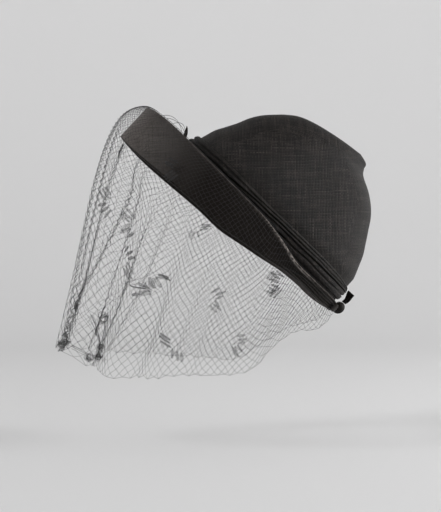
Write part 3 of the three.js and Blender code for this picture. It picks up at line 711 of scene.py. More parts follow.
# %% Sizes of the band
BAND_STAND_OFF = 0.0534
BAND_UPPER_HEIGHT = 0.022
BAND_WIDTH = 0.039
BAND_THICKNESS = 0.0026
BAND_ROLL = 0.0022
ROLL_ANGLE = 118
ROLL_SPREAD = 22

band_rows = table("angle off upper width", [
    (0, 1.0, 0.99, 0.985),
    (30, 0.884, 1.11, 1.11),
    (60, 0.532, 0.977, 0.955),
    (75, 0.383, 0.92, 0.93),
    (90, 0.278, 0.86, 0.79),
    (105, 0.205, 0.66, 0.58),
    (120, 0.105, 0.42, 0.34),
    (135, 0.035, 0.4, 0.3),
    (150, 0.008, 0.42, 0.325),
    (180, 0.0, 0.42, 0.24),
])
foot_centre = float(crown_section(0.0, FOLD_FOOT)[1])


def round_foot(angle, radius, height):
    return on_hat(angle, radius, height, foot_centre)


def band_at(angle):
    """The band's inner and outer radius, its edges and its rolled rim."""
    a = from_front(angle)
    seat = crown_section(angle, FOLD_FOOT)[0] + SEAT_GAP
    inner = seat + smooth(band_rows, "angle", "off", a) * BAND_STAND_OFF
    upper = smooth(band_rows, "angle", "upper", a) * BAND_UPPER_HEIGHT
    lower = upper - smooth(band_rows, "angle", "width", a) * BAND_WIDTH
    roll = BAND_ROLL * bump(a, ROLL_ANGLE, ROLL_SPREAD)
    return inner, inner + BAND_THICKNESS, upper, lower, roll


print("the band's outer radius in front:", round(float(band_at(0.0)[1]), 4))

# %% Ribbon finish
ribbon_weave = {
    "straw": (0.024, 0.0195, 0.0165),
    "pitch": 0.0006,
    "relief": 0.00006,
    "gloss": 0.1,
    "sway_share": 0.1,
}
ribbon_finish = cloth(
    "Black ribbon",
    colour=(0.0098, 0.0072, 0.0058),
    # This pale colour is mostly painted top light: the band is painted lighter where it faces up,
    # towards the front light.
    fade_and_top_light_colour=(0.215, 0.192, 0.179),
    fade_and_top_light_values={"Patches": 12.0, "Least": 0.0, "Upward": 1.5, "Everywhere": -0.12},
    **ribbon_weave,
)
bow_finish = cloth(
    "Black bow ribbon",
    colour=(0.0100, 0.0080, 0.0070),
    fade_and_top_light_colour=(0.030, 0.026, 0.024),
    fade_and_top_light_values={"Patches": 90.0, "Upward": 0.2, "Everywhere": 0.4},
    **ribbon_weave,
)

# %% Painted highlight along the ribbon's roll
# A pale highlight is painted in uneven spots along the ribbon's upper edge, strongest on the roll.
RIBBON_EDGE_HIGHLIGHT = (0.33, 0.29, 0.265, 1)
EDGE_HIGHLIGHT_SPOTS = 420.0

tree = ribbon_finish.node_tree
ribbon_colour = tree.nodes["Principled BSDF"].inputs["Base Color"]
woven_colour = ribbon_colour.links[0].from_socket
edge_highlight = add(tree, "ShaderNodeAttribute", {"attribute_name": "edge_highlight"})
place_here = add(tree, "ShaderNodeTexCoord").outputs["Object"]
highlight_noise = add(tree, "ShaderNodeTexNoise", Vector=place_here, Scale=EDGE_HIGHLIGHT_SPOTS, Detail=3.0)
highlight_spots = add(tree, "ShaderNodeMapRange", Value=highlight_noise.outputs[0], From_Min=0.4, From_Max=0.62)
spotted_highlight = math_node(tree, "MULTIPLY", edge_highlight.outputs["Fac"], highlight_spots.outputs[0])
tree.links.new(blended(tree, spotted_highlight, woven_colour, RIBBON_EDGE_HIGHLIGHT), ribbon_colour)
print("nodes in the ribbon's finish:", len(tree.nodes))

# %% Make the band
BAND_COLUMNS = 360
BAND_FACES = 31
EDGE_ROUND = 0.0005
PLEAT_DEPTH = 0.0008
PLEATS = 4.5
PLEATS_FROM = 100
PLEATS_FULL = 130
PLEAT_DRIFT = 260
# Where the painted highlight along the upper edge is strongest, how far it spreads, its width and
# its least share.
HIGHLIGHT_ANGLE = 114
HIGHLIGHT_SPREAD = 22
HIGHLIGHT_WIDTH = 0.0021
HIGHLIGHT_LEAST = 0.08
band_turns = np.arange(BAND_COLUMNS) * 360 / BAND_COLUMNS


def band_surface():
    """The band's rings, and how much painted highlight each point gets."""
    inner, outer, upper, lower, roll = band_at(band_turns)
    a = from_front(band_turns)
    pleated = grown(a, PLEATS_FROM, PLEATS_FULL)
    highlight_strength = HIGHLIGHT_LEAST + (1 - HIGHLIGHT_LEAST) * bump(a, HIGHLIGHT_ANGLE, HIGHLIGHT_SPREAD)
    shares = np.linspace(0, 1, BAND_FACES)
    edge = np.minimum(roll + 0.001, (upper - lower) / 3)
    rings, highlight_marks = [round_foot(band_turns, inner + EDGE_ROUND, lower)], [0 * a]
    for share in shares:
        height = mix(lower + EDGE_ROUND, upper - EDGE_ROUND, share)
        rolled = roll * bump(upper - edge, height, np.maximum(edge * 0.8, 0.0008))
        fold = share * PLEATS + band_turns / PLEAT_DRIFT + wander(band_turns, 41, 0.2)
        pleat = PLEAT_DEPTH * pleated * (1 - 2 * np.abs(np.sin(math.pi * fold)))
        slack = wander(band_turns, 50, 0.0002) * math.sin(math.pi * share)
        rings.append(round_foot(band_turns, outer + rolled + pleat + slack, height))
        highlight_marks.append(highlight_strength * bump(height, upper, HIGHLIGHT_WIDTH))
    rings.append(round_foot(band_turns, outer - EDGE_ROUND, upper))
    rings.append(round_foot(band_turns, inner + EDGE_ROUND, upper))
    highlight_marks += [highlight_strength, highlight_strength]
    for share in shares[::-1]:
        height = mix(lower + EDGE_ROUND, upper - EDGE_ROUND, share)
        rings.append(round_foot(band_turns, inner, height))
        highlight_marks.append(0 * a)
    return leaned(np.stack(rings)), np.stack(highlight_marks)


band_rings, band_highlight = band_surface()
band_mesh = ring_mesh("band_ribbon", band_rings, joined=True)
marks = band_mesh.attributes.new("edge_highlight", "FLOAT", "POINT")
marks.data.foreach_set("value", band_highlight.ravel().astype(np.float32))
band = new_object("band_ribbon", band_mesh, ribbon_finish)
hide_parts("brim_band")
print("band faces:", len(band_mesh.polygons))

# %% [markdown]
# ## Bows
# A bow is ribbon that goes out, turns round and comes back under a knot. Each loop, leaf and
# tab below is a flat ribbon that follows a path, with its section kept closed. Lines pressed
# along it run together at the knot. The knots are short pieces of the same ribbon wound
# round and round, so their pleats follow the winding.

# %% A ribbon along a path, and a wound knot
RIBBON_THICKNESS = 0.0011
RIBBON_COLUMNS = 15


def ribbon_rings(middle, across, out, width, lift=0.0):
    """Closed sections of a ribbon. Lift is how far each point rises from the flat."""
    w = np.linspace(-1, 1, RIBBON_COLUMNS)
    flat_points = middle[:, None] + across[:, None] * (w * width[:, None] / 2)[..., None]
    lift = np.broadcast_to(lift, flat_points.shape[:2])
    half = RIBBON_THICKNESS / 2 * (1 - 0.5 * w**8)
    front = flat_points + out[:, None] * (lift + half)[..., None]
    back = flat_points + out[:, None] * (lift - half)[..., None]
    return np.concatenate([front, back[:, ::-1]], axis=1)


KNOT_COLUMNS = 48
KNOT_ROWS = 37
KNOT_END = 0.97
KNOT_PLEATS = 1.6
KNOT_PLEAT_DEPTH = 0.13
KNOT_PLEAT_LEAN = 0.12
KNOT_FULLNESS = 2.6


def knot_rings(centre, width, depth, height, seed):
    """Rings across a knot whose winding runs round the X axis, with pleats along it."""
    turn = np.radians(np.arange(KNOT_COLUMNS) * 360 / KNOT_COLUMNS)[None, :]
    x = np.linspace(-KNOT_END, KNOT_END, KNOT_ROWS)[:, None]
    lean = x + KNOT_PLEAT_LEAN * np.sin(turn + seed)
    pleats = np.abs(np.sin(lean * KNOT_PLEATS * math.pi + seed)) ** 3
    radius = (1 - np.abs(x) ** KNOT_FULLNESS) ** 0.5 * (1 - KNOT_PLEAT_DEPTH * pleats) / 2
    rings = np.stack(np.broadcast_arrays(
        x * width / 2, radius * depth * np.cos(turn), radius * height * np.sin(turn)
    ), axis=-1)
    return rings + centre


def bow_piece(name, rings, node, joined=False):
    made = new_object(name, ring_mesh(name, leaned(rings), joined), bow_finish)
    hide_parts(node)
    print(name, "faces:", len(made.data.polygons))


# %% The back bow
BACK_KNOT = {"width": 0.013, "depth": 0.011, "height": 0.013}
LOOP_LENGTH = 0.024
LOOP_WIDTH = 0.009
LOOP_DEPTH = 0.005
LOOP_FOOT_DEPTH = 0.75
LOOP_FOOT_WIDTH = 0.6
LOOP_PINCH = 0.0005

_, back_outer, _, back_lower, _ = (float(v) for v in band_at(180.0))
back_place = round_foot(
    180.0,
    back_outer + SEAT_GAP + BACK_KNOT["depth"] / 2,
    back_lower + BACK_KNOT["height"] * 0.58,
)
back_place[0] = 0
bow_piece("back_knot_ribbon", knot_rings(back_place, **BACK_KNOT, seed=1), "back_knot")


def back_loop(side):
    """A flat loop that lies along the band beside the knot."""
    run = LOOP_LENGTH - LOOP_DEPTH
    turn = np.radians(np.linspace(0, 360, 65)[:-1])
    along = run / 2 + run / 2 * np.sign(np.cos(turn)) * np.abs(np.cos(turn)) ** 0.6
    along = along + (LOOP_DEPTH - RIBBON_THICKNESS) / 2 * np.cos(turn)
    out = (LOOP_DEPTH - RIBBON_THICKNESS) / 2 * np.sin(turn)
    out = out * mix(LOOP_FOOT_DEPTH, 1, np.clip(along / run, 0, 1))
    start = (BACK_KNOT["width"] + LOOP_DEPTH) / 2 + SEAT_GAP
    angle = 180 - np.degrees(side * (start + along) / back_outer)
    _, outer, upper, lower, roll = band_at(angle)
    radius = outer + roll + SEAT_GAP + LOOP_DEPTH / 2 + out
    middle = round_foot(angle, radius, (upper + lower) / 2)
    width = LOOP_WIDTH * mix(LOOP_FOOT_WIDTH, 0.97, grown(along / run, 0, 0.8))
    across = np.broadcast_to([0.0, 0.0, 1.0], middle.shape)
    path_out = unit(np.cross(np.roll(middle, -1, 0) - np.roll(middle, 1, 0), across))
    w = np.linspace(-1, 1, RIBBON_COLUMNS)
    pinch = LOOP_PINCH * (1 - np.clip(along / run, 0, 1))[:, None]
    return ribbon_rings(middle, across, path_out, width, pinch * np.cos(w * 3 * math.pi))


for side, label in ((1, "left"), (-1, "right")):
    bow_piece(f"back_loop_{label}_ribbon", back_loop(side), f"back_loop_{label}", joined=True)

# %% The back bow's tab
TAB_LENGTH = 0.0125
TAB_WIDTH = 0.0085
TAB_FOOT_WIDTH = 0.58
TAB_TWIST = math.radians(25)
TAB_SWAY = 0.0008
TAB_CREASES = 2.5
TAB_CREASE_DEPTH = 0.0006
TAB_STEPS = 25

tab_share = np.linspace(0, 1, TAB_STEPS)
tab_foot = back_place[2] + BACK_KNOT["height"] / 2 + SEAT_GAP
tab_middle = np.stack([
    0 * tab_share,
    back_place[1] + TAB_SWAY * np.sin(tab_share * 5),
    tab_foot + tab_share * TAB_LENGTH,
], axis=-1)
tab_across = np.tile([math.sin(TAB_TWIST), math.cos(TAB_TWIST), 0.0], (TAB_STEPS, 1))
tab_out = np.tile([math.cos(TAB_TWIST), -math.sin(TAB_TWIST), 0.0], (TAB_STEPS, 1))
tab_creases = np.cos(np.linspace(-1, 1, RIBBON_COLUMNS) * TAB_CREASES * math.pi)
tab_lift = TAB_CREASE_DEPTH * (1 - 0.7 * tab_share)[:, None] * tab_creases
tab_width = TAB_WIDTH * mix(TAB_FOOT_WIDTH, 0.98, ease(tab_share))
bow_piece(
    "back_tab_ribbon",
    ribbon_rings(tab_middle, tab_across, tab_out, tab_width, tab_lift),
    "back_tab",
)

# %% The front bow
FRONT_KNOT = {"width": 0.010, "depth": 0.006, "height": 0.008}
LEAF_LENGTH = 0.014
LEAF_WIDTH = 0.007
LEAF_CUP = 0.0011
LEAF_FOOT_ASIDE = 0.22
LEAF_SPREAD = 0.35
LEAF_LEAN = 0.42
LEAF_FOOT_TURN = math.radians(14)
LEAF_TIP_TURN = math.radians(42)

front_height = FOLD_FOOT + FOLD_LOWER_WIDTH * 0.6
front_radius, front_centre = (float(v) for v in crown_section(0.0, front_height))
front_beyond = 2 * SEAT_GAP + float(fold_reach(0.0, FOLD_LOWER_DEPTH)) + FRONT_KNOT["depth"] / 2
front_place = on_hat(0.0, front_radius + front_beyond, front_height, front_centre)
bow_piece("front_knot_ribbon", knot_rings(front_place, **FRONT_KNOT, seed=4), "front_knot")


def front_leaf(side):
    """A pointed leaf, cupped and a little twisted, that stands up and leans forwards."""
    share = np.linspace(0, 1, 33)
    twist = mix(LEAF_FOOT_TURN, LEAF_TIP_TURN, share)
    middle = np.stack([
        side * (FRONT_KNOT["width"] * LEAF_FOOT_ASIDE + share * LEAF_LENGTH * LEAF_SPREAD),
        -(share**2) * LEAF_LENGTH * LEAF_LEAN,
        share * LEAF_LENGTH,
    ], axis=-1)
    middle = middle + front_place + [0, 0, FRONT_KNOT["height"] / 2 + SEAT_GAP]
    across = np.stack([np.cos(twist), side * np.sin(twist), 0 * twist], axis=-1)
    out = np.stack([side * np.sin(twist), -np.cos(twist), 0 * twist], axis=-1)
    width = LEAF_WIDTH * np.sin(math.pi * mix(0.17, 0.985, share))
    w = np.linspace(-1, 1, RIBBON_COLUMNS)
    cupped = LEAF_CUP * (np.abs(w) ** 1.3 - 0.5) * np.sin(math.pi * mix(0.1, 1, share))[:, None]
    return ribbon_rings(middle, across, out, width, cupped)


for side, label in ((1, "left"), (-1, "right")):
    bow_piece(f"front_leaf_{label}_ribbon", front_leaf(side), f"front_leaf_{label}")
print("bows at", back_place.round(3), front_place.round(3))

# %% [markdown]
# ## The veil's shape
# The veil hangs from the band's upper edge, from one side of the nape round the face to the
# other. A cloth simulation of so fine a net is slow, and it would not find the folds that
# this one has taken. So the veil is described by ribs: each one is a curve from the band to
# the hem, and folds, creases and bunches move the cloth off them.

# %% Ribs and folds
VEIL_GAP = 0.0009
VEIL_END_ANGLE = 160
VEIL_REACH = 0.193
VEIL_DROP = 0.139
VEIL_HALF_WIDTH = 0.079
VEIL_SPRING = 0.045
VEIL_PULL = 0.43
FOLD_DEPTH = 0.009

veil_ribs = table("at side front drop spring rise hang", [
    (-1.0, -0.43, -0.42, 0.55, 0.02, -0.3, 0.3),
    (-0.9, -0.62, -0.33, 0.64, 0.04, -0.3, 0.3),
    (-0.8, -0.79, -0.21, 0.68, 0.08, -0.3, 0.32),
    (-0.7, -0.93, -0.08, 0.8, 0.14, -0.3, 0.35),
    (-0.6, -0.99, 0.05, 0.92, 0.22, -0.3, 0.38),
    (-0.5, -0.97, 0.19, 0.93, 0.32, -0.26, 0.42),
    (-0.4, -0.88, 0.38, 0.9, 0.46, -0.18, 0.46),
    (-0.3, -0.73, 0.57, 0.88, 0.64, -0.1, 0.5),
    (-0.2, -0.53, 0.78, 0.86, 0.84, -0.04, 0.55),
    (-0.1, -0.28, 0.93, 0.83, 0.96, 0.01, 0.59),
    (0.0, 0.0, 1.0, 0.81, 1.0, 0.025, 0.61),
    (0.1, 0.28, 0.95, 0.84, 0.96, 0.01, 0.59),
    (0.2, 0.53, 0.79, 0.94, 0.84, -0.04, 0.55),
    (0.3, 0.72, 0.6, 1.0, 0.64, -0.1, 0.5),
    (0.4, 0.87, 0.39, 0.97, 0.46, -0.18, 0.46),
    (0.5, 0.97, 0.18, 0.96, 0.32, -0.26, 0.42),
    (0.6, 1.0, 0.02, 0.93, 0.22, -0.3, 0.38),
    (0.7, 0.94, -0.1, 0.77, 0.14, -0.3, 0.35),
    (0.8, 0.8, -0.21, 0.67, 0.08, -0.3, 0.32),
    (0.9, 0.62, -0.33, 0.65, 0.04, -0.3, 0.3),
    (1.0, 0.43, -0.42, 0.55, 0.02, -0.3, 0.3),
])
veil_folds = table("at spread out start full", [
    (-0.58, 0.045, 0.45, 0.35, 1.0),
    (-0.45, 0.035, -0.5, 0.3, 1.0),
    (-0.36, 0.025, 0.75, 0.15, 0.8),
    (-0.3, 0.022, -0.85, 0.15, 0.8),
    (-0.235, 0.024, 0.95, 0.1, 0.7),
    (-0.17, 0.024, -0.75, 0.1, 0.7),
    (-0.11, 0.022, 0.6, 0.1, 0.7),
    (-0.055, 0.02, -0.45, 0.05, 0.6),
    (0.0, 0.022, 0.3, 0.05, 0.6),
    (0.055, 0.02, -0.4, 0.05, 0.6),
    (0.12, 0.03, 0.45, 0.1, 0.7),
    (0.2, 0.024, -0.8, 0.1, 0.7),
    (0.26, 0.022, 1.0, 0.1, 0.7),
    (0.315, 0.022, -0.8, 0.12, 0.75),
    (0.38, 0.03, 0.6, 0.2, 0.9),
    (0.48, 0.04, -0.4, 0.3, 1.0),
    (0.6, 0.045, 0.4, 0.35, 1.0),
])
veil_gathers = table("at spread from pull", [
    (-0.185, 0.055, 0.76, 0.55),
    (0.0, 0.07, 0.78, 0.55),
    (0.185, 0.06, 0.8, 0.55),
])


def veil_rib(at, down):
    """The veil with no folds, from the band's upper edge (down 0) to the hem (down 1)."""
    angle = at * VEIL_END_ANGLE
    _, outer, upper, _, roll = band_at(angle)
    start = leaned(round_foot(angle, outer + roll + VEIL_GAP, upper + VEIL_GAP))
    read = {name: smooth(veil_ribs, "at", name, at) for name in veil_ribs if name != "at"}
    hem = np.stack([
        read["side"] * VEIL_HALF_WIDTH,
        -read["front"] * VEIL_REACH,
        -read["drop"] * VEIL_DROP,
    ], axis=-1)
    fall = start[..., 2] - hem[..., 2]
    outwards = leaned(on_hat(angle, 1, 0, 0))
    outwards[..., 2] = 0
    first = start + unit(outwards) * (read["spring"] * VEIL_SPRING)[..., None]
    first[..., 2] += read["rise"] * fall
    over_hem = np.stack([start[..., 0], start[..., 1], hem[..., 2]], axis=-1)
    second = mix(hem, over_hem, VEIL_PULL)
    second[..., 2] += read["hang"] * fall
    t = np.asarray(down)[..., None]
    near = start * (1 - t) ** 3 + first * 3 * t * (1 - t) ** 2
    return near + second * 3 * t**2 * (1 - t) + hem * t**3


def veil_out(at, down):
    """The way out of the unfolded veil."""
    step = 0.004
    a = np.clip(at, -1 + step, 1 - step)
    d = np.clip(down, step, 1 - step)
    sideways = veil_rib(a + step, d) - veil_rib(a - step, d)
    fall = veil_rib(a, d + step) - veil_rib(a, d - step)
    return unit(np.cross(fall, sideways))


def clear_of_band(points):
    """Pushes points of the veil outwards until they clear the band."""
    p = upright(points)
    p[..., 1] -= foot_centre
    _, outer, upper, lower, roll = band_at(np.degrees(np.arctan2(p[..., 0], -p[..., 1])))
    below = np.maximum(0, lower - p[..., 2]) ** 2 / BAND_WIDTH
    above = np.maximum(0, p[..., 2] - upper - VEIL_GAP)
    wanted = outer + roll + VEIL_GAP - below - above * 2
    radius = np.hypot(p[..., 0], p[..., 1])
    p[..., :2] *= np.maximum(1, wanted / radius)[..., None]
    p[..., 1] += foot_centre
    return leaned(p)


def veil_point(at, down, lift=0.0):
    """The veil with its folds and bunches, and a lift off it."""
    pulled = at
    for centre, spread, start, pull in zip(*veil_gathers.values()):
        drawn = pull * grown(down, start, 1) * bump(at, centre, spread)
        pulled = pulled - (at - centre) * drawn
    out = lift
    for centre, spread, share, start, full in zip(*veil_folds.values()):
        out = out + share * FOLD_DEPTH * grown(down, start, full) * bump(at, centre, spread)
    point = veil_rib(pulled, down) + veil_out(pulled, down) * np.asarray(out)[..., None]
    return clear_of_band(point)


print("the hem in front:", veil_rib(0.0, 1.0).round(3))

# %% [markdown]
# ## Creases
# Where a net folds, its threads crowd together and the fold reads as a dark line. Each row
# below is one such line. It draws the cloth on both sides towards itself, and it drifts on
# its way down to where the hem is bunched. A swag does the same across the veil.

# %% Draw the cloth together
CREASE_DEPTH = 0.0016
CREASE_RUFFLE = 2.4
SWAG_AT = 0.3
SWAG_DOWN = 0.72
SWAG_CURVE = 8.9
SWAG_SPREAD = 0.035
SWAG_PULL = 1.1
SWAG_MIDDLE = 0.24
SWAG_REACH = 0.08

creases = table("at drift spread pull start full", [
    (-0.42, 0.03, 0.030, 0.6, 0.3, 0.8),
    (-0.28, 0.05, 0.032, 0.9, 0.25, 0.6),
    (-0.19, 0.05, 0.030, 1.1, 0.2, 0.5),
    (-0.10, 0.05, 0.028, 1.0, 0.15, 0.4),
    (0.015, 0.03, 0.030, 1.35, 0.04, 0.25),
    (0.07, 0.03, 0.026, 1.25, 0.15, 0.45),
    (0.135, -0.03, 0.020, 0.7, 0.15, 0.4),
    (0.2, -0.12, 0.042, 1.4, 0.2, 0.5),
    (0.275, -0.09, 0.032, 1.2, 0.25, 0.6),
    (0.35, -0.04, 0.026, 0.6, 0.35, 0.8),
    (0.46, -0.02, 0.035, 0.4, 0.4, 0.9),
])


def drape(at, down, lift=0.0, crossing=0.0):
    """The veil as it hangs. In a crease, neighbouring crossings lie at different depths."""
    at, down = np.broadcast_arrays(np.asarray(at, float), np.asarray(down, float))
    drawn, crowd = at, 0
    for centre, drift, spread, pull, start, full in zip(*creases.values()):
        middle = centre + drift * down**3
        strength = pull * grown(down, start, full) * bump(at, middle, spread)
        drawn = drawn - (at - middle) * strength
        crowd = crowd + strength
    line = SWAG_DOWN + SWAG_CURVE * (SWAG_AT - np.abs(at)) ** 2
    swag = SWAG_PULL * bump(np.abs(at), SWAG_MIDDLE, SWAG_REACH) * bump(down, line, SWAG_SPREAD)
    sunk = np.clip(down - (down - line) * swag, 0, 1)
    depth = CREASE_DEPTH * (crowd + swag) * np.sin(CREASE_RUFFLE * np.asarray(crossing))
    return veil_point(drawn, sunk, lift + depth)


print("creases:", len(creases["at"]), "folds:", len(veil_folds["at"]))

# %% [markdown]
# ## Thread
# Every net, darning stitch and loose end is thread, so one tree of Geometry Nodes makes them
# all: it turns the edges of a mesh into thin tubes, and can set a knot at each crossing. The
# knot has eight faces, because the net needs thousands of them.


# %% A node tree that spins thread
def thread_group(name, sides, knots):
    tree = bpy.data.node_groups.new(name, "GeometryNodeTree")
    for label, kind in (
        ("Lines", "NodeSocketGeometry"),
        ("Radius", "NodeSocketFloat"),
        ("Knot", "NodeSocketFloat"),
        ("Material", "NodeSocketMaterial"),
    ):
        tree.interface.new_socket(label, in_out="INPUT", socket_type=kind)
    tree.interface.new_socket("Thread", in_out="OUTPUT", socket_type="NodeSocketGeometry")
    lines, radius, knot, material = tree.nodes.new("NodeGroupInput").outputs[:4]
    curve = add(tree, "GeometryNodeMeshToCurve", Mesh=lines)
    section = add(tree, "GeometryNodeCurvePrimitiveCircle", Resolution=sides, Radius=radius)
    tube = add(
        tree, "GeometryNodeCurveToMesh", Curve=curve.outputs[0], Profile_Curve=section.outputs[0]
    )
    made = tube.outputs[0]
    if knots:
        meeting = add(tree, "GeometryNodeInputMeshVertexNeighbors")
        many = add(tree, "FunctionNodeCompare", {"data_type": "INT", "operation": "GREATER_THAN"})
        count, least = (s for s in many.inputs if s.enabled)
        tree.links.new(meeting.outputs[0], count)
        least.default_value = 2
        ball = add(tree, "GeometryNodeMeshUVSphere", Segments=4, Rings=2, Radius=knot)
        scattered = add(
            tree,
            "GeometryNodeInstanceOnPoints",
            Points=lines,
            Selection=many.outputs[0],
            Instance=ball.outputs[0],
        )
        both = tree.nodes.new("GeometryNodeJoinGeometry")
        tree.links.new(scattered.outputs[0], both.inputs[0])
        tree.links.new(made, both.inputs[0])
        made = both.outputs[0]
    real = add(tree, "GeometryNodeRealizeInstances", Geometry=made)
    shaded = add(tree, "GeometryNodeSetShadeSmooth", Geometry=real.outputs[0])
    dressed = add(tree, "GeometryNodeSetMaterial", Geometry=shaded.outputs[0], Material=material)
    tree.links.new(dressed.outputs[0], tree.nodes.new("NodeGroupOutput").inputs[0])
    return tree


def line_mesh(name, points, edges):
    mesh = bpy.data.meshes.new(name)
    mesh.from_pydata(np.asarray(points).tolist(), np.asarray(edges).tolist(), [])
    return mesh


def paths_mesh(name, paths):
    """One mesh of edges from several lists of points."""
    starts = np.cumsum([0] + [len(path) for path in paths])
    edges = [(s + i, s + i + 1) for s, path in zip(starts, paths) for i in range(len(path) - 1)]
    return line_mesh(name, np.concatenate(paths), edges)


def spun(name, lines, group, radius, material, knot=0.0):
    """Runs a thread tree over a mesh of lines and keeps the result as a plain mesh."""
    source = into_scene(lines.name, lines)
    modifier = source.modifiers.new("thread", "NODES")
    modifier.node_group = group
    values = {"Radius": radius, "Knot": knot, "Material": material}
    for item in group.interface.items_tree:
        if item.in_out == "INPUT" and item.name in values:
            modifier[item.identifier] = values[item.name]
    shown = bpy.context.evaluated_depsgraph_get()
    mesh = bpy.data.meshes.new_from_object(source.evaluated_get(shown))
    bpy.data.objects.remove(source)
    mesh.name = name
    return new_object(name, mesh, material)


# %% Thread finishes
def thread_finish(name, dark, light, scale):
    """A thread whose tone changes a little along its way."""
    made, tree, shader = new_finish(name, roughness=0.6, gloss=0.25)
    place_here = add(tree, "ShaderNodeTexCoord").outputs["Object"]
    uneven = add(tree, "ShaderNodeTexNoise", Vector=place_here, Scale=scale, Detail=2.0)
    coloured = blended(tree, uneven.outputs[0], (*dark, 1), (*light, 1))
    tree.links.new(coloured, shader.inputs["Base Color"])
    return made


net_finish = thread_finish("Net thread", (0.012, 0.0115, 0.012), (0.034, 0.033, 0.034), 300.0)
darning_finish = thread_finish("Darning thread", (0.02, 0.02, 0.021), (0.06, 0.06, 0.063), 500.0)
net_thread = thread_group("Net thread with knots", sides=4, knots=True)
plain_thread = thread_group("Plain thread", sides=4, knots=False)
print("nodes that spin the net:", len(net_thread.nodes), "plain:", len(plain_thread.nodes))

# %% [markdown]
# ## Net
# The net is knotted in diamonds. Its crossings are a checker of columns and rows: the
# columns lie at equal steps round the veil, and the rows at equal steps up the cloth from
# the hem, which a thread edges in shallow arcs. So the rows lie level, and the slanting band
# cuts across them. What passes the band's upper edge is turned in over it. Every crossing
# strays a little.

# %% Place the crossings
CELL_WIDTH = 0.0062
CELL_HEIGHT = 0.0070
WRAP_ROWS = 2
MEASURED_DOWN = 0.55


def run_lengths(points):
    """The running length along the first axis of an array of points."""
    steps = np.linalg.norm(np.diff(points, axis=0), axis=-1)
    return np.concatenate([np.zeros_like(steps[:1]), np.cumsum(steps, axis=0)])


at_fine = np.linspace(-1, 1, 801)
width_run = run_lengths(veil_point(at_fine, np.full_like(at_fine, MEASURED_DOWN)))
columns = 2 * round(width_run[-1] / CELL_WIDTH)
column_at = np.interp(np.linspace(0, width_run[-1], columns + 1), width_run, at_fine)
rib_length = run_lengths(veil_rib(column_at[None, :], np.linspace(0, 1, 161)[:, None]))[-1]
half_row = CELL_HEIGHT / 2
top_row = rib_length / half_row + WRAP_ROWS
last_row = int(top_row.max())
column, row = np.meshgrid(np.arange(columns + 1), np.arange(last_row + 1), indexing="ij")
crossing = ((column + row) % 2 == 0) & (row <= top_row[:, None])
number = np.full(crossing.shape, -1)
number[crossing] = np.arange(crossing.sum())
column, row = column[crossing], row[crossing]
print("net: columns", columns, "rows", last_row, "crossings", len(column))

# %% Join them and hang the net
THREAD_RADIUS = 0.00012
KNOT_RADIUS = 0.00022
STRAY = 0.45
STRAY_IN_WAVES = 0.5
STRAY_BY_CHANCE = 0.22
ROWS_TO_FULL_STRAY = 8
ARC_COLUMNS = 4
ARC_HEIGHT = 0.0016

edges = np.concatenate([
    np.stack([number[:-1, :-1].ravel(), number[1:, 1:].ravel()], axis=-1),
    np.stack([number[1:, :-1].ravel(), number[:-1, 1:].ravel()], axis=-1),
    np.stack([number[:-2, 0], number[2:, 0]], axis=-1),
])
edges = edges[(edges >= 0).all(axis=1)]

stray = np.random.default_rng(12)
settled = np.clip((top_row[column] - row) / ROWS_TO_FULL_STRAY, 0, 1) * STRAY


def strayed(place, waves):
    """Places moved in slow waves and by chance, and less so near the band."""
    by_chance = stray.normal(0, STRAY_BY_CHANCE, len(place))
    return place + settled * (STRAY_IN_WAVES * waves + by_chance)


along_waves = np.sin(column * 0.31 + row * 0.17) + np.sin(column * 0.13 - row * 0.29 + 2)
up_waves = np.sin(column * 0.19 - row * 0.23 + 1) + np.sin(column * 0.37 + row * 0.11 + 4)
strayed_column = strayed(column, along_waves)
strayed_row = strayed(row, up_waves)
strayed_column = np.clip(strayed_column, 0, columns)
net_at = np.interp(strayed_column, np.arange(columns + 1), column_at)
net_length = np.interp(strayed_column, np.arange(columns + 1), rib_length)
arc = ARC_HEIGHT * (1 - np.abs(np.sin(math.pi * column / ARC_COLUMNS))) * np.exp(-row / 2)
above_hem = np.maximum(strayed_row * half_row + arc, 0)
hung = drape(net_at, np.clip(1 - above_hem / net_length, 0, 1), crossing=column)
passed = np.clip((above_hem - net_length) / (WRAP_ROWS * half_row), 0, 1)
inner, outer, upper, _, roll = band_at(net_at * VEIL_END_ANGLE)
turned_in = mix(outer + roll + VEIL_GAP, inner, passed)
wrapped = leaned(round_foot(net_at * VEIL_END_ANGLE, turned_in, upper + VEIL_GAP))
net_points = np.where((passed > 0)[:, None], wrapped, hung)
net_lines = line_mesh("net_lines", net_points, edges)
veil = spun("veil_net", net_lines, net_thread, THREAD_RADIUS, net_finish, KNOT_RADIUS)
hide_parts("veil")

# %% [markdown]
# ## Bunches and loose loops
# In front the hem has been drawn up into small tangled knots, and a twisted strand joins
# two of them. A few threads stand up in arches where the net turns over the band. Each knot
# is a handful of uneven loops round one place on the veil.

# %% Tie the bunches
BUNCH_THREAD = 0.00014
STRAND_WAIST = 0.7
bunches = table("at down out size loops", [
    (0.10, 0.98, 0.001, 0.0044, 7),
    (0.055, 0.985, 0.001, 0.0038, 5),
    (0.02, 0.985, 0.003, 0.0024, 4),
    (0.18, 0.885, 0.001, 0.0056, 9),
    (0.16, 0.98, 0.001, 0.0044, 13),
    (0.22, 0.97, 0.001, 0.0044, 13),
    (-0.185, 0.985, 0.001, 0.0040, 11),
    (-0.08, 0.985, 0.001, 0.0036, 9),
])
strands = table("from_at from_down to_at to_down threads spread", [
    (0.165, 0.89, 0.19, 0.985, 6, 0.0032),
    (0.02, 0.965, 0.13, 0.955, 5, 0.0020),
    (0.14, 0.975, 0.25, 0.965, 5, 0.0020),
    (-0.18, 0.90, -0.185, 0.985, 5, 0.0026),
])
chance = random.Random(21)


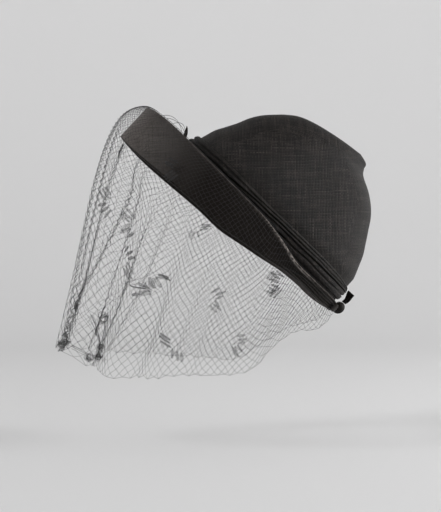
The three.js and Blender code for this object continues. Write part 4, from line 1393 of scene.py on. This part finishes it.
def tangled_loop(centre, size):
    """One uneven loop of thread, turned any way."""
    turn = np.radians(np.linspace(0, 360, 15))
    tilt = np.array([[chance.gauss(0, 1) for _ in range(3)] for _ in range(2)])
    u = unit(tilt[0])
    v = unit(np.cross(u, tilt[1]))
    wobble = chance.uniform(0.45, 1) * (1 + 0.25 * np.sin(2 * turn + chance.uniform(0, 6)))
    shift = np.array([chance.uniform(-0.35, 0.35) for _ in range(3)]) * size
    ring = u * (np.cos(turn) * wobble)[:, None] + v * (np.sin(turn) * wobble)[:, None]
    return centre + shift + ring * size


bunch_paths = []
for at, down, out, size, loops in zip(*bunches.values()):
    centre = drape(at, down, lift=out)
    bunch_paths += [tangled_loop(centre, size) for _ in range(int(loops))]
for from_at, from_down, to_at, to_down, threads, spread in zip(*strands.values()):
    t = np.linspace(0, 1, 13)
    for _ in range(int(threads)):
        phase, side = chance.uniform(0, 6.3), chance.uniform(-1, 1)
        sway = spread * np.array([side, math.cos(phase), math.sin(phase)])
        waist = (1 - STRAND_WAIST * np.sin(math.pi * t))[:, None]
        path = drape(mix(from_at, to_at, t), mix(from_down, to_down, t))
        bunch_paths.append(path + sway * waist)
bunch_lines = paths_mesh("bunch_lines", bunch_paths)
veil_bunches = spun("veil_bunches", bunch_lines, plain_thread, BUNCH_THREAD, net_finish)
print("loops and strands:", len(bunch_paths))

# %% Stand the arches up
ARCH_THREAD = 0.00022
arches = table("start end height inset", [
    (26, 38, 0.0050, 0.2),
    (28, 40, 0.0040, 0.6),
    (32, 39, 0.0058, 0.9),
    (-33, -24, 0.0045, 0.4),
])
arch_paths = []
for start, end, height, inset in zip(*arches.values()):
    t = np.linspace(0, 1, 25)
    inner, outer, upper, _, _ = band_at(mix(start, end, t))
    rise = upper + VEIL_GAP + height * np.sin(math.pi * t) ** 0.8
    arch_paths.append(leaned(round_foot(mix(start, end, t), mix(outer, inner, inset), rise)))
arch_lines = paths_mesh("arch_lines", arch_paths)
veil_arches = spun("veil_arches", arch_lines, plain_thread, ARCH_THREAD, net_finish)
print("arches:", len(arch_paths))

# %% [markdown]
# ## The veil as cloth
# The veil is a sheet of net, cut as one strip. Its mesh is thread and not a filled surface,
# and the thread's outer surface is only about a fifth of the strip. The call compares the
# declared area with the mesh and takes none below 0.3 of the strip. So that least value is
# given here, and it is not the area of the cut.

# %% [markdown]
# ## Darned motifs
# Sprigs are darned into the net: two wings of three bars each. A bar is one thread that goes
# to and fro through the meshes, with a few laid along it, so light still comes through. The
# bars follow the veil's own surface, and each motif is a piece, as its solid is.

# %% Darn the motifs
BAR_LENGTH = 0.0105
BAR_WIDTH = 0.0032
BAR_STEP = 0.0036
STITCH = 0.0010
LAID_THREADS = (-0.28, 0.05, 0.33)
DARNING_RADIUS = 0.00015
DARNING_LIFT = 0.0006
WING_TILT = math.radians(45)

motif_rows = table("at down turn", [
    (0.12, 0.57, 12),
    (0.12, 0.86, -20),
    (0.21, 0.59, 25),
    (0.29, 0.72, -8),
    (0.38, 0.89, 35),
    (0.27, 0.26, 40),
    (0.64, 0.39, 20),
    (-0.16, 0.92, 8),
    (-0.21, 0.72, -15),
    (-0.29, 0.75, 30),
    (-0.08, 0.33, -10),
    (-0.36, 0.42, 18),
    (-0.46, 0.7, -12),
    (-0.58, 0.9, 24),
    (-0.66, 0.4, -20),
])
bar_rows = table("start length", [(0.0, 0.9), (0.12, 1.05), (0.12, 0.95)])
chance = random.Random(8)


def on_veil(at, down, x, y, lift):
    """Points at x across and y up from a place on the veil."""
    step = 0.01
    sideways = veil_rib(at + step, down) - veil_rib(at - step, down)
    fall = veil_rib(at, down + step) - veil_rib(at, down - step)
    slant = float(np.dot(unit(sideways), unit(fall)))
    a = at + (x + slant * y) * 2 * step / np.linalg.norm(sideways)
    d = down - (y + slant * x) * 2 * step / np.linalg.norm(fall)
    return drape(a, np.clip(d, 0.002, 1), lift=lift)


def darned_bar(start, length):
    """The threads of one bar, as places along it and over it."""
    stitches = round(length / STITCH)
    t = np.linspace(0, 1, 2 * stitches + 1)
    swell = 0.35 + 0.65 * np.sin(math.pi * t) ** 0.7
    to_and_fro = np.where(np.arange(len(t)) % 2 == 0, 1, -1) * BAR_WIDTH / 2
    frayed = np.array([chance.uniform(0.75, 1.1) for _ in t])
    threads = [(start + t * length, to_and_fro * swell * frayed)]
    for over in LAID_THREADS:
        threads.append((start + t * length, over * BAR_WIDTH * swell))
    return threads


def darned_motif(at, down, turn):
    paths = []
    c, s = math.cos(turn), math.sin(turn)
    for mirror in (1, -1):
        for bar, (start, length) in enumerate(zip(*bar_rows.values())):
            tilt = WING_TILT + chance.uniform(-0.2, 0.2)
            start = start + chance.uniform(-0.06, 0.08)
            length = length * chance.uniform(0.85, 1.08)
            for along_bar, over_bar in darned_bar(start * BAR_LENGTH, length * BAR_LENGTH):
                aside = over_bar + BAR_STEP * (0.4 + bar)
                x = math.sin(tilt) * aside - math.cos(tilt) * along_bar
                y = mirror * (math.sin(tilt) * along_bar + math.cos(tilt) * aside)
                paths.append(on_veil(at, down, c * x - s * y, s * x + c * y, DARNING_LIFT))
    return paths


motif_names = sorted(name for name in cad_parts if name.startswith("motif_"))
for name, at, down, turn in zip(motif_names, *motif_rows.values()):
    lines = paths_mesh(name + "_lines", darned_motif(at, down, math.radians(turn)))
    darned = spun(
        "darned_" + name, lines, plain_thread, DARNING_RADIUS, darning_finish
    )
    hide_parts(name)
print("motifs:", len(motif_names))
